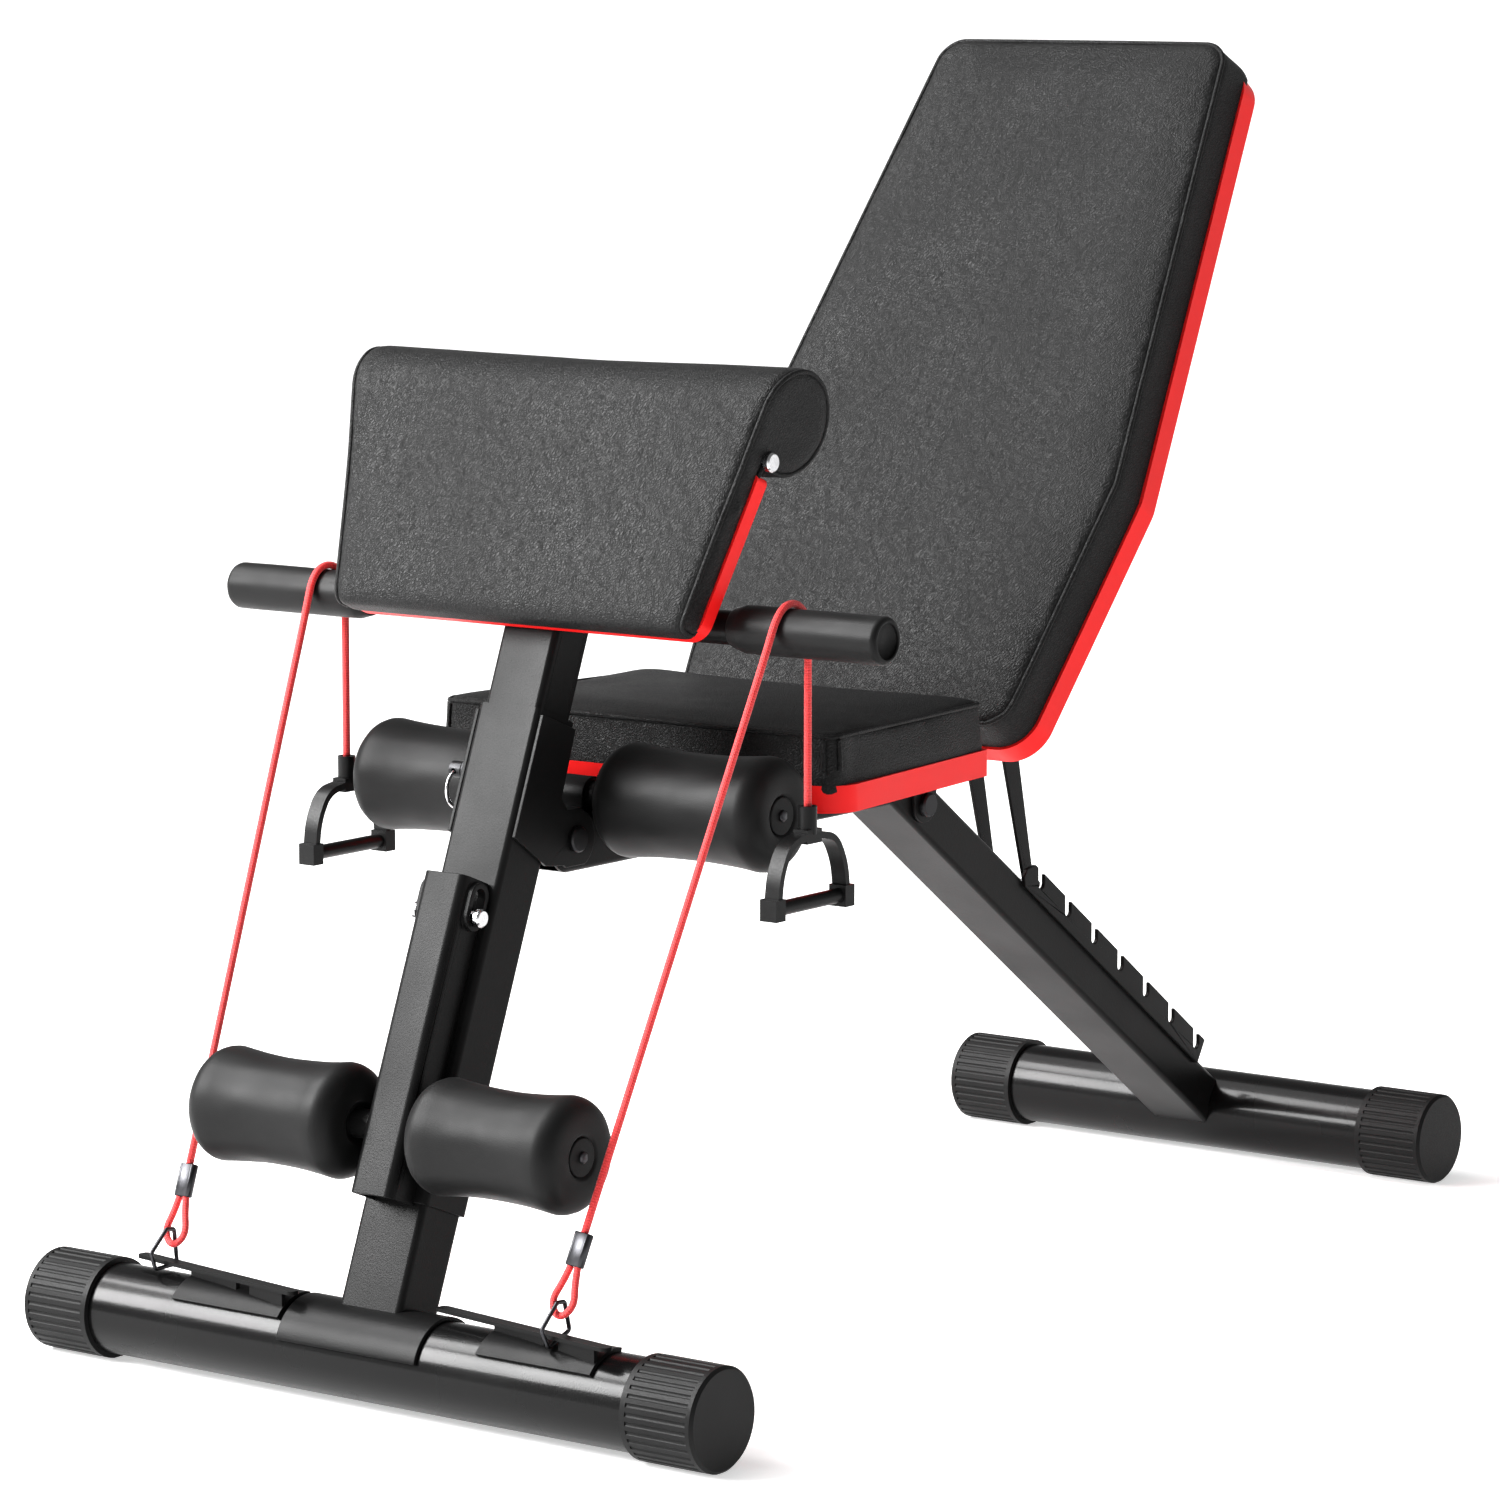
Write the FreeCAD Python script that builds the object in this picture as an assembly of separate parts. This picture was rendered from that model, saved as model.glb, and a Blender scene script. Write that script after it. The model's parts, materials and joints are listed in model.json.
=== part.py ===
"""Foldable decline sit-up bench with a ladder backrest, leg rollers, preacher pad and elastic cords.

Millimetres, +Z up. The bench lies along Y: its front crossbar is at -Y, its rear crossbar at +Y.
It is symmetric about X = 0, apart from the lock pin on the left. The origin is on the floor, under
the middle of the bench. Along-bench places below are distances behind the front crossbar's axis.
"""
import FreeCAD, Part
import math
import os

from FreeCAD import Vector

# ---------------------------------------------------------------- driving dimensions
CROSSBAR_SPACING = 985.0      # front axis to rear axis
CROSSBAR_RADIUS = 30.0
CROSSBAR_WALL = 2.0
AXIS_HEIGHT = 33.0            # of both crossbars above the floor
CAP_RADIUS = 33.4             # the caps stand on the floor on narrow flats
CAP_LENGTH = 55.0
CAP_END_WALL = 4.0
FRONT_LENGTH = 550.0
REAR_LENGTH = 422.0
TUBE_CORNER = 4.0
TUBE_WALL = 2.0

UPRIGHT_LEAN = 21.5           # degrees back from vertical
UPRIGHT_FOOT = 2.0            # its centre line at the height of the crossbar's axis
SLEEVE_WIDTH = 50.0
SLEEVE_DEPTH = 40.0
SLEEVE_TOP = 424.0            # along the upright, from the crossbar's axis
POST_WIDTH = 45.0
POST_DEPTH = 35.0
POST_BOTTOM = 230.0
POST_TOP = 578.0
LOCK_HEIGHT = 382.0           # along the upright
LOCK_PITCH = 20.0
LOCK_HOLES = 7
LOCK_RADIUS = 4.0

LEG_SLOPE = 35.2              # degrees below horizontal
LEG_WIDTH = 50.0
LEG_DEPTH = 34.0
BACK_PIVOT = (570.0, 320.0)   # behind the front axis, above the floor
FRONT_PIVOT = (172.0, 345.5)
PIVOT_RADIUS = 5.0
RUNNING = 0.06                # radial clearance of a bolt in a hole that turns on it

BEAM_WIDTH = 48.0
BEAM_BOTTOM = 323.0
BEAM_TOP = 359.0
BEAM_NOSE_RADIUS = 22.4

SLOT_COUNT = 7
SLOT_PITCH = 43.6
SLOT_START = 168.0            # down the leg from the back pivot
SLOT_RADIUS = 4.0
SLOT_BOTTOM = 20.5            # above the leg's centre line
LADDER_TOP = 31.5
LADDER_BOTTOM = 12.0
LADDER_SPAN = (143.0, 438.0)
LADDER_THICKNESS = 3.0

SEAT_TOP = 413.0
SEAT_SPAN = (267.0, 473.0)
SEAT_FRONT_WIDTH = 337.0
SEAT_REAR_WIDTH = 287.0
PAD_THICKNESS = 33.0
BOARD_THICKNESS = 18.0
BOARD_PROUD = 2.5             # the board stands out round its pad
STRAP_THICKNESS = 3.0

BACK_ANGLE = 56.05            # degrees above horizontal, in the first slot
BACK_FOOT = (498.0, 392.0)    # lower end of the pad's front face
BACK_LENGTH = 550.0
BACK_BOTTOM_WIDTH = 280.0
BACK_SHOULDER_WIDTH = 325.0
BACK_TOP_WIDTH = 247.0
BACK_SHOULDER = 195.0
BRACKET_THICKNESS = 2.5
EAR_INSIDE = 25.5
EAR_THICKNESS = 3.0

STRUT_HINGE = (169.0, 75.0)   # along the back, and behind its front face
STRUT_WIDTH = 35.0
STRUT_DEPTH = 18.0
STRUT_PIN_RADIUS = 3.0
STRUT_PIN_HALF = 24.5         # stays just clear of the ladder plates
STRUT_BOLT_RADIUS = 4.0

AXLE_RADIUS = 9.5
ROLLER_RADIUS = 39.5
ROLLER_WAIST = 36.0
KNEE_AXLE_AT = 209.0
KNEE_ROLLER = (35.0, 167.0)   # inner and outer end, across the bench
ANKLE_ROLLER = (30.0, 150.0)
ANKLE_AXLE = (140.5, -33.5)   # along the upright, and behind its centre line

HOOK_FRONT = -46.0
HOOK_HALF_WIDTH = 17.5
HOOK_SPAN = (95.0, 306.0)
HOOK_THICKNESS = 2.5
HOOK_PIN = (281.5, -31.0)
HOOK_TRAVEL = 13.0

BAR_AT = 492.0                # handlebar, along the upright
BAR_RADIUS = 11.0
BAR_HALF = 262.0
GRIP_RADIUS = 15.5
GRIP_SPAN = (150.0, 267.0)
ARM_PAD_FRONT = -50.0
ARM_PAD_BACK = -31.0
ARM_BOARD_BACK = -20.0
ARM_BOARD_TOP = 585.0
ARM_PAD_SPAN = (475.0, 661.0)
ARM_PAD_WIDTHS = (285.0, 352.6)
ROLL_RADIUS = 37.0
ROLL_ROD = (595.0, -25.0)
ROLL_ROD_HEAD = 6.5

CORD_RADIUS = 2.5
CORD_PLATE_X = 126.0          # both cord plates are the same part, not a mirrored pair
CORD_PLATE_TURN = 8.5         # degrees: the strip's left end lies further back
STRIP_BOTTOM = 69.0           # above the floor
STRIP_WIDTH = 9.0
HANDLE_HALF = 37.5            # half the hand bar's length
HANDLE_BAR = -59.5            # the hand bar's axis, from where the cord enters the grip

PARTS = {}


# ---------------------------------------------------------------- building helpers
def point(x, behind, height):
    """A place in the part's frame from a distance behind the front crossbar's axis."""
    return Vector(x, behind - CROSSBAR_SPACING / 2, height)


class Line:
    """A straight line in the plane X = 0: distances along it, and across it towards the rear or top."""

    def __init__(self, behind, height, angle):
        self.behind, self.height, self.angle = behind, height, angle
        turn = math.radians(angle)
        self.run = (math.cos(turn), math.sin(turn))
        self.side = (math.sin(turn), -math.cos(turn))

    def at(self, along, across=0.0, x=0.0):
        behind = self.behind + along * self.run[0] + across * self.side[0]
        height = self.height + along * self.run[1] + across * self.side[1]
        return point(x, behind, height)

    def place(self, shape):
        """Moves a shape from local axes (X, across, along) onto the line."""
        placed = shape.copy()
        turn = FreeCAD.Rotation(Vector(1, 0, 0), self.angle - 90)
        placed.Placement = FreeCAD.Placement(self.at(0), turn).multiply(placed.Placement)
        return placed


def cylinder(start, end, radius):
    return Part.makeCylinder(radius, (end - start).Length, start, end - start)


def cylinder_x(x0, x1, centre, radius):
    """A cylinder along X, round a point whose own X is ignored."""
    return Part.makeCylinder(radius, x1 - x0, Vector(x0, centre.y, centre.z), Vector(1, 0, 0))


def ring_x(x0, x1, centre, outer, inner):
    return cylinder_x(x0, x1, centre, outer).cut(cylinder_x(x0 - 1, x1 + 1, centre, inner))


def prism(corners, x0, x1):
    """A flat outline of points, pushed out along X from x0 to x1."""
    flat = [Vector(x0, c.y, c.z) for c in corners]
    return Part.Face(Part.makePolygon(flat + flat[:1])).extrude(Vector(x1 - x0, 0, 0))


def both_sides(shape):
    """The shape and its mirror image across X = 0, as two solids."""
    return Part.makeCompound([shape, mirrored(shape)])


def mirrored(shape):
    return shape.mirror(Vector(0, 0, 0), Vector(1, 0, 0))


def fused(shapes):
    whole = shapes[0].multiFuse(shapes[1:])
    return whole.removeSplitter()


def block(x0, x1, y0, y1, z0, z1):
    return Part.makeBox(x1 - x0, y1 - y0, z1 - z0, Vector(x0, y0, z0))


def rounded_bar(width, depth, low, high, corner):
    """A bar along local Z with rounded long edges, centred on local X and Y."""
    bar = block(-width / 2, width / 2, -depth / 2, depth / 2, low, high)
    long_edges = [e for e in bar.Edges if abs(e.Vertexes[0].Z - e.Vertexes[-1].Z) > 1]
    return bar.makeFillet(corner, long_edges)


def tube(line, low, high, width, depth, wall=TUBE_WALL):
    """A rectangular tube along a line."""
    outer = rounded_bar(width, depth, low, high, TUBE_CORNER)
    inner = rounded_bar(width - 2 * wall, depth - 2 * wall, low - 1, high + 1, TUBE_CORNER - wall)
    return line.place(outer.cut(inner))


def slab(line, outline, across0, across1, corners):
    """A flat board of (x, along) corners between two depths across a line, with rounded corners."""
    flat = [Vector(x, across0, along) for x, along in outline]
    solid = Part.Face(Part.makePolygon(flat + flat[:1])).extrude(Vector(0, across1 - across0, 0))
    for (x, along), radius in zip(outline, corners):
        edge = [e for e in solid.Edges if all(
            abs(v.X - x) < 0.01 and abs(v.Z - along) < 0.01 for v in e.Vertexes)]
        if radius and edge:
            solid = solid.makeFillet(radius, edge)
    return line.place(solid)


def routed(points, radii=None):
    """A wire of straight runs joined by tangent arcs, and the arcs' radii."""
    edges, used = [], []
    start = points[0]
    for i in range(1, len(points) - 1):
        corner = points[i]
        back, ahead = points[i - 1] - corner, points[i + 1] - corner
        half_turn = (math.pi - back.getAngle(ahead)) / 2
        shorter = min(back.Length, ahead.Length)
        radius = radii[i] if radii else 0.45 * shorter / math.tan(half_turn)
        reach = radius * math.tan(half_turn)
        enter = corner + back.normalize() * reach
        leave = corner + ahead.normalize() * reach
        bisector = (back + ahead).normalize()
        centre = corner + bisector * (radius / math.cos(half_turn))
        middle = centre - bisector * radius
        edges += [Part.LineSegment(start, enter).toShape(), Part.Arc(enter, middle, leave).toShape()]
        used.append(radius)
        start = leave
    edges.append(Part.LineSegment(start, points[-1]).toShape())
    return Part.Wire(edges), used


def piped(wire, radius):
    """A round section swept along a wire."""
    first = wire.Edges[0]
    start = first.valueAt(first.FirstParameter)
    heading = first.tangentAt(first.FirstParameter)
    section = Part.Wire([Part.makeCircle(radius, start, heading)])
    return wire.makePipeShell([section], True, False)


def bolt_x(centre, radius, x0, x1, head_radius, head):
    """A bolt along X with a low round head at each end."""
    shank = cylinder_x(x0, x1, centre, radius)
    left = cylinder_x(x0 - head, x0, centre, head_radius)
    right = cylinder_x(x1, x1 + head, centre, head_radius)
    heads = [h.makeChamfer(1.2, [e for e in h.Edges if on_rim(e, x)]) for h, x in
             ((left, x0 - head), (right, x1 + head))]
    return fused([shank] + heads)


def on_rim(edge, x):
    return all(abs(v.X - x) < 0.01 for v in edge.Vertexes) and edge.Length > 5


def screw(line, x, along, across, depth, head=4.0):
    """A hexagon-head screw that goes into a board from behind: across is the plate's rear face."""
    hexagon = [Vector(x + 5.5 * math.cos(a), across, along + 5.5 * math.sin(a))
               for a in (math.radians(60 * k) for k in range(6))]
    top = Part.Face(Part.makePolygon(hexagon + hexagon[:1])).extrude(Vector(0, head, 0))
    shank = Part.makeCylinder(3.0, depth, Vector(x, across - depth, along), Vector(0, 1, 0))
    return line.place(top.fuse(shank))


def screw_hole(line, x, along, across, depth):
    return line.place(
        Part.makeCylinder(3.0, depth + 10, Vector(x, across - depth, along), Vector(0, 1, 0)))


def save(name, shape):
    PARTS[name] = shape


# ---------------------------------------------------------------- the lines that the bench is set out on
front_axis = point(0, 0, AXIS_HEIGHT)
rear_axis = point(0, CROSSBAR_SPACING, AXIS_HEIGHT)
upright = Line(UPRIGHT_FOOT, AXIS_HEIGHT, 90 - UPRIGHT_LEAN)
leg = Line(BACK_PIVOT[0], BACK_PIVOT[1], 180 - LEG_SLOPE)     # along it is up the leg
back = Line(BACK_FOOT[0], BACK_FOOT[1], BACK_ANGLE)
seat = Line(SEAT_SPAN[0], SEAT_TOP, 0)                        # across it is down
back_pivot = leg.at(0)
front_pivot = point(0, *FRONT_PIVOT)
strut_top = back.at(*STRUT_HINGE)


def slot_centre(number):
    """Centre of a ladder slot's round bottom, counting from 0 at the top."""
    lowest = leg.at(-(SLOT_START + SLOT_PITCH * number), SLOT_BOTTOM)
    return lowest + Vector(0, 0, SLOT_RADIUS)


strut_pin_at = slot_centre(0) - Vector(0, 0, SLOT_RADIUS - STRUT_PIN_RADIUS)
strut_reach = strut_pin_at - strut_top
strut = Line(strut_top.y + CROSSBAR_SPACING / 2, strut_top.z,
             math.degrees(math.atan2(strut_reach.z, strut_reach.y)))


# ---------------------------------------------------------------- crossbars
FLUTES = 36
FLUTE_RADIUS = 1.8
FLUTE_OUT = CAP_RADIUS + 1.0


def fluted_cap(inner_x, outer_x, centre):
    """A foot cap: a cup over the tube's end, with flutes round it and a flat to stand on."""
    low, high = min(inner_x, outer_x), max(inner_x, outer_x)
    cup = cylinder_x(low, high, centre, CAP_RADIUS)
    rims = [e for e in cup.Edges if on_rim(e, outer_x)]
    cup = cup.makeChamfer(2.0, rims)
    inward = 1 if outer_x < inner_x else -1
    bore_end = outer_x + inward * CAP_END_WALL
    bore = cylinder_x(min(inner_x, bore_end), max(inner_x, bore_end), centre, CROSSBAR_RADIUS)
    grooves = []
    for k in range(FLUTES):
        turn = 2 * math.pi * (k + 0.5) / FLUTES
        at = centre + Vector(0, FLUTE_OUT * math.sin(turn), -FLUTE_OUT * math.cos(turn))
        start = inner_x - inward * 4.0
        end = outer_x + inward * 5.0
        grooves.append(cylinder_x(min(start, end), max(start, end), at, FLUTE_RADIUS))
    under_floor = block(-400, 400, centre.y - 50, centre.y + 50, -10, 0)
    return cup.cut(bore).cut(Part.makeCompound(grooves)).cut(under_floor)


def crossbar(name, centre, length):
    half = length / 2
    tube_half = half - CAP_END_WALL
    save(name + "_crossbar_tube", ring_x(-tube_half, tube_half, centre,
                                         CROSSBAR_RADIUS, CROSSBAR_RADIUS - CROSSBAR_WALL))
    save(name + "_caps", both_sides(fluted_cap(half - CAP_LENGTH, half, centre)))


crossbar("front", front_axis, FRONT_LENGTH)
crossbar("rear", rear_axis, REAR_LENGTH)


# ---------------------------------------------------------------- front leg
SADDLE_RADIUS = CROSSBAR_RADIUS + 2.6


def shell_over(centre, x0, x1, low_angle, high_angle):
    """Part of a thin sleeve over the crossbar, from one angle to another above the front (-Y)."""
    whole = ring_x(x0, x1, centre, SADDLE_RADIUS, CROSSBAR_RADIUS)
    far = 60.0
    steps = 6
    fan = [centre]
    for k in range(steps + 1):
        turn = math.radians(low_angle + (high_angle - low_angle) * k / steps)
        fan.append(centre + Vector(0, -far * math.cos(turn), far * math.sin(turn)))
    return whole.common(prism(fan, x0 - 1, x1 + 1))


def front_upright():
    sleeve = tube(upright, 0, SLEEVE_TOP, SLEEVE_WIDTH, SLEEVE_DEPTH)
    sleeve = sleeve.cut(cylinder_x(-80, 80, front_axis, SADDLE_RADIUS))
    lower = upright.at(0, 0)
    sleeve = sleeve.cut(block(-80, 80, lower.y - 80, lower.y + 80, -50, AXIS_HEIGHT))
    return sleeve.cut(lock_hole(LOCK_HEIGHT))


HINGE_PLATE = 3.0
HINGE_ROUND = 20.0


def hinge_plate(x0):
    """One side plate: it wraps the sleeve's side and reaches back to carry the front pivot."""
    half = SLEEVE_DEPTH / 2
    top = SLEEVE_TOP - 4
    pivot_behind, pivot_height = FRONT_PIVOT
    low = pivot_height - 17.5
    corners = [
        upright.at(338, -half + 2), upright.at(top, -half + 2), upright.at(top, half - 2),
        upright.at(374, half), point(0, pivot_behind - 8, pivot_height + HINGE_ROUND),
        point(0, pivot_behind, pivot_height + HINGE_ROUND),
        point(0, pivot_behind, low), upright.at(329, half),
    ]
    plate = prism(corners, x0, x0 + HINGE_PLATE)
    nose = cylinder_x(x0, x0 + HINGE_PLATE, front_pivot, HINGE_ROUND)
    nose = nose.cut(block(-99, 99, -600, 600, 0, low))
    hole = cylinder_x(x0 - 1, x0 + HINGE_PLATE + 1, front_pivot, PIVOT_RADIUS + RUNNING)
    return fused([plate, nose]).cut(hole)


def cord_plate(centre_x):
    """A sheet bent over the crossbar's front, with a long strip on it that the cord's clip goes round."""
    half, thick = 77.0, 2.5
    turned = FreeCAD.Placement(Vector(centre_x, front_axis.y - 8, 0),
                               FreeCAD.Rotation(Vector(0, 0, 1), -CORD_PLATE_TURN))
    wide = STRIP_WIDTH / 2
    strip = block(-half, half, -wide, wide, STRIP_BOTTOM, STRIP_BOTTOM + thick)
    strip = strip.makeFillet(3.5, [e for e in strip.Edges if abs(e.Vertexes[0].Z - e.Vertexes[-1].Z) > 1])
    left, right = -25.0, 65.0
    rib = block(left, right, -1.5, 1.5, AXIS_HEIGHT, STRIP_BOTTOM + 1)
    rib = rib.cut(block(20, 33, -20, 20, AXIS_HEIGHT + CROSSBAR_RADIUS - 4, STRIP_BOTTOM))
    top = strip.fuse(rib)
    top.Placement = turned
    flap = shell_over(front_axis, centre_x + left, centre_x + right, 40, 104)
    return fused([top, flap]).cut(cylinder_x(-300, 300, front_axis, CROSSBAR_RADIUS))


# Each steel clip is a five-sided loop of round wire across the bench: where it is, and its corners.
CLIP_WIRE = 1.4
CLIPS = (
    (153.0, [(-17.0, 63.5), (-24.0, 76.0), (-8.5, 90.5), (-1.0, 90.0), (4.0, 71.0)]),
    (-179.0, [(-9.0, 66.0), (-13.0, 77.0), (2.0, 90.5), (9.5, 89.5), (12.0, 66.0)]),
)


def wire_clip(x, corners):
    loop = [point(x, *c) for c in corners]
    first = (loop[0] + loop[-1]) * 0.5
    path, _ = routed([first] + loop + [first], [0, 2.6, 2.6, 2.2, 2.2, 2.6, 0])
    return piped(path, CLIP_WIRE)


def hook_lug():
    """A block on the sleeve's front that holds the leg hook's cross pin."""
    along, across = HOOK_PIN
    body = upright.place(block(-8, 8, across - 7, -SLEEVE_DEPTH / 2, along - 9, along + 9))
    return body.cut(cylinder_x(-9, 9, upright.at(along, across), 4.0))


def lock_hole(along):
    """The space that the lock pin needs on the left, at a height along the upright."""
    return cylinder_x(-60, 0, upright.at(along), LOCK_RADIUS + 0.3)


def lock_housing():
    """The pin's guide, welded to the left hinge plate."""
    centre = upright.at(LOCK_HEIGHT)
    half = SLEEVE_WIDTH / 2
    face = -half - HINGE_PLATE
    barrel = cylinder_x(face - 10, face, centre, 7.5)
    flange = cylinder_x(face - 3, face, centre, 10.5)
    return fused([barrel, flange]).cut(lock_hole(LOCK_HEIGHT))


save("front_saddle", shell_over(front_axis, -57, 57, 15, 165))
save("upright_sleeve", front_upright())
right_plate = hinge_plate(SLEEVE_WIDTH / 2)
save("hinge_plates", Part.makeCompound([right_plate, mirrored(right_plate).cut(lock_hole(LOCK_HEIGHT))]))
save("cord_plates", Part.makeCompound([cord_plate(x) for x in (-CORD_PLATE_X, CORD_PLATE_X)]))
save("cord_clips", Part.makeCompound([wire_clip(*clip) for clip in CLIPS]))
save("hook_lug", hook_lug())
save("hook_pin", bolt_x(upright.at(*HOOK_PIN), 4.0, -24, 24, 6.0, 4.0))
save("lock_housing", lock_housing())


# ---------------------------------------------------------------- spring lock pin with its pull ring
def lock_pin():
    centre = upright.at(LOCK_HEIGHT)
    nose, end = -17.5, -49.0
    pin = cylinder_x(end, nose, centre, LOCK_RADIUS)
    knob = cylinder_x(end, end + 9, centre, 5.5)
    eye = Part.makeCylinder(2.0, 20, Vector(end + 4, centre.y - 10, centre.z - 0.6), Vector(0, 1, 0))
    return fused([pin, knob]).cut(eye)


def pull_ring():
    centre = upright.at(LOCK_HEIGHT)
    radius = 12.5
    return Part.makeTorus(radius, 1.2, Vector(-45.0, centre.y, centre.z - radius), Vector(1, 0, 0))


save("lock_pin", lock_pin())
save("pull_ring", pull_ring())


# ---------------------------------------------------------------- rear leg, beam and ladder
def leg_solid():
    return leg.place(rounded_bar(LEG_WIDTH, LEG_DEPTH, -498, 60, TUBE_CORNER))


def rear_leg():
    body = tube(leg, -498, 60, LEG_WIDTH, LEG_DEPTH)
    body = body.cut(cylinder_x(-80, 80, rear_axis, CROSSBAR_RADIUS))
    body = body.cut(block(-80, 80, -200, 600, BEAM_TOP - 3, 600))
    return body.cut(cylinder_x(-80, 80, back_pivot, PIVOT_RADIUS))


def leg_end_cap():
    return leg_solid().common(block(-80, 80, -200, 600, BEAM_TOP - 3, BEAM_TOP))


def seat_beam():
    level = Line(0, (BEAM_TOP + BEAM_BOTTOM) / 2, 0)
    beam = tube(level, FRONT_PIVOT[0] - 26, 560, BEAM_WIDTH, BEAM_TOP - BEAM_BOTTOM)
    half_leg = LEG_DEPTH / 2
    behind_leg = prism([leg.at(-200, -half_leg), leg.at(200, -half_leg),
                        leg.at(200, 300), leg.at(-200, 300)], -80, 80)
    stop = SLEEVE_DEPTH / 2 + 0.1
    in_upright = prism([upright.at(200, -60), upright.at(500, -60),
                        upright.at(500, stop), upright.at(200, stop)], -80, 80)
    low = front_pivot
    under_nose = block(-80, 80, low.y - 60, low.y, low.z - 60, low.z)
    apart = low - upright.at(0)
    along = apart.y * upright.run[0] + apart.z * upright.run[1]
    before_nose = prism([upright.at(200, -60), upright.at(along, -60), low, low + Vector(0, 0, -80)],
                        -80, 80)
    nose = cylinder_x(-90, 90, low, BEAM_NOSE_RADIUS)
    beam = beam.cut(behind_leg).cut(in_upright).cut(under_nose.cut(nose)).cut(before_nose.cut(nose))
    return beam.cut(cylinder_x(-80, 80, front_pivot, PIVOT_RADIUS))


def ladder_plate(x0):
    start, end = LADDER_SPAN
    outline = [leg.at(-start, LADDER_BOTTOM + 5), leg.at(-start - 5, LADDER_BOTTOM),
               leg.at(-end, LADDER_BOTTOM), leg.at(-end + 1, LADDER_TOP),
               leg.at(-start - 8, LADDER_TOP), leg.at(-start, LADDER_TOP - 8)]
    plate = prism(outline, x0, x0 + LADDER_THICKNESS)
    slots = []
    for number in range(SLOT_COUNT):
        centre = slot_centre(number)
        slots.append(cylinder_x(x0 - 1, x0 + LADDER_THICKNESS + 1, centre, SLOT_RADIUS))
        slots.append(block(x0 - 1, x0 + LADDER_THICKNESS + 1, centre.y - SLOT_RADIUS,
                           centre.y + SLOT_RADIUS, centre.z, centre.z + 40))
    return plate.cut(Part.makeCompound(slots))


save("rear_leg_tube", rear_leg())
save("leg_end_cap", leg_end_cap())
save("seat_beam", seat_beam())
save("ladder_plates", both_sides(ladder_plate(LEG_WIDTH / 2)))
save("front_pivot_bolt", bolt_x(front_pivot, PIVOT_RADIUS, -28.2, 28.2, 8.5, 4.0))
save("back_pivot_bolt", bolt_x(back_pivot, PIVOT_RADIUS, -28.8, 28.8, 8.5, 4.5))


# ---------------------------------------------------------------- seat
def seat_outline(grow):
    front, rear = SEAT_FRONT_WIDTH / 2 + grow, SEAT_REAR_WIDTH / 2 + grow
    length = SEAT_SPAN[1] - SEAT_SPAN[0]
    return [(-front, -grow), (front, -grow), (rear, length + grow), (-rear, length + grow)]


SEAT_CORNERS = (24, 24, 6, 6)
STRAPS = (38.0, 168.0)        # behind the seat's front edge
STRAP_SCREW_X = 58.0
under_board = PAD_THICKNESS + BOARD_THICKNESS
seat_screws, seat_holes, straps = [], [], []
for along in STRAPS:
    strap = block(-75, 75, under_board, under_board + STRAP_THICKNESS, along - 15, along + 15)
    for x in (-STRAP_SCREW_X, STRAP_SCREW_X):
        face = under_board + STRAP_THICKNESS
        seat_screws.append(screw(seat, x, along, face, 15))
        seat_holes.append(screw_hole(seat, x, along, face, 15))
    straps.append(seat.place(strap))
seat_drill = Part.makeCompound(seat_holes)
save("seat_pad", slab(seat, seat_outline(0), 0, PAD_THICKNESS, SEAT_CORNERS))
save("seat_board", slab(seat, seat_outline(BOARD_PROUD), PAD_THICKNESS, under_board,
                        SEAT_CORNERS).cut(seat_drill))
save("seat_straps", Part.makeCompound([s.cut(seat_drill) for s in straps]))
save("seat_screws", Part.makeCompound(seat_screws))


# ---------------------------------------------------------------- rollers and their axles
def roller(x0, x1, centre):
    """A foam roller: round shoulders, a slightly waisted middle, a bore and a recess at each end."""
    shoulder = 12.0
    base = Vector(x0, centre.y, centre.z)
    bore, recess, depth = AXLE_RADIUS + RUNNING, 13.5, 3.0
    length = x1 - x0

    def at(x, r):
        return base + Vector(x, 0, r)

    bend = shoulder * (1 - math.sqrt(0.5))
    edges = [
        Part.makeLine(at(0, recess), at(0, ROLLER_RADIUS - shoulder)),
        Part.Arc(at(0, ROLLER_RADIUS - shoulder), at(bend, ROLLER_RADIUS - bend),
                 at(shoulder, ROLLER_RADIUS)).toShape(),
        Part.Arc(at(shoulder, ROLLER_RADIUS), at(length / 2, ROLLER_WAIST),
                 at(length - shoulder, ROLLER_RADIUS)).toShape(),
        Part.Arc(at(length - shoulder, ROLLER_RADIUS), at(length - bend, ROLLER_RADIUS - bend),
                 at(length, ROLLER_RADIUS - shoulder)).toShape(),
        Part.makeLine(at(length, ROLLER_RADIUS - shoulder), at(length, recess)),
        Part.makeLine(at(length, recess), at(length - depth, recess)),
        Part.makeLine(at(length - depth, recess), at(length - depth, bore)),
        Part.makeLine(at(length - depth, bore), at(depth, bore)),
        Part.makeLine(at(depth, bore), at(depth, recess)),
        Part.makeLine(at(depth, recess), at(0, recess)),
    ]
    return Part.Face(Part.Wire(edges)).revolve(base, Vector(1, 0, 0), 360)


def axle(half, centre):
    return ring_x(-half, half, centre, AXLE_RADIUS, AXLE_RADIUS - 1.5)


def axle_plugs(half, centre):
    """Push-in end plugs whose heads keep the rollers on."""
    head = cylinder_x(half, half + 2.0, centre, 12.5)
    head = head.makeFillet(1.0, [e for e in head.Edges if on_rim(e, half + 2.0)])
    return both_sides(fused([head, cylinder_x(half - 14, half, centre, AXLE_RADIUS - 1.5)]))


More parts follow.
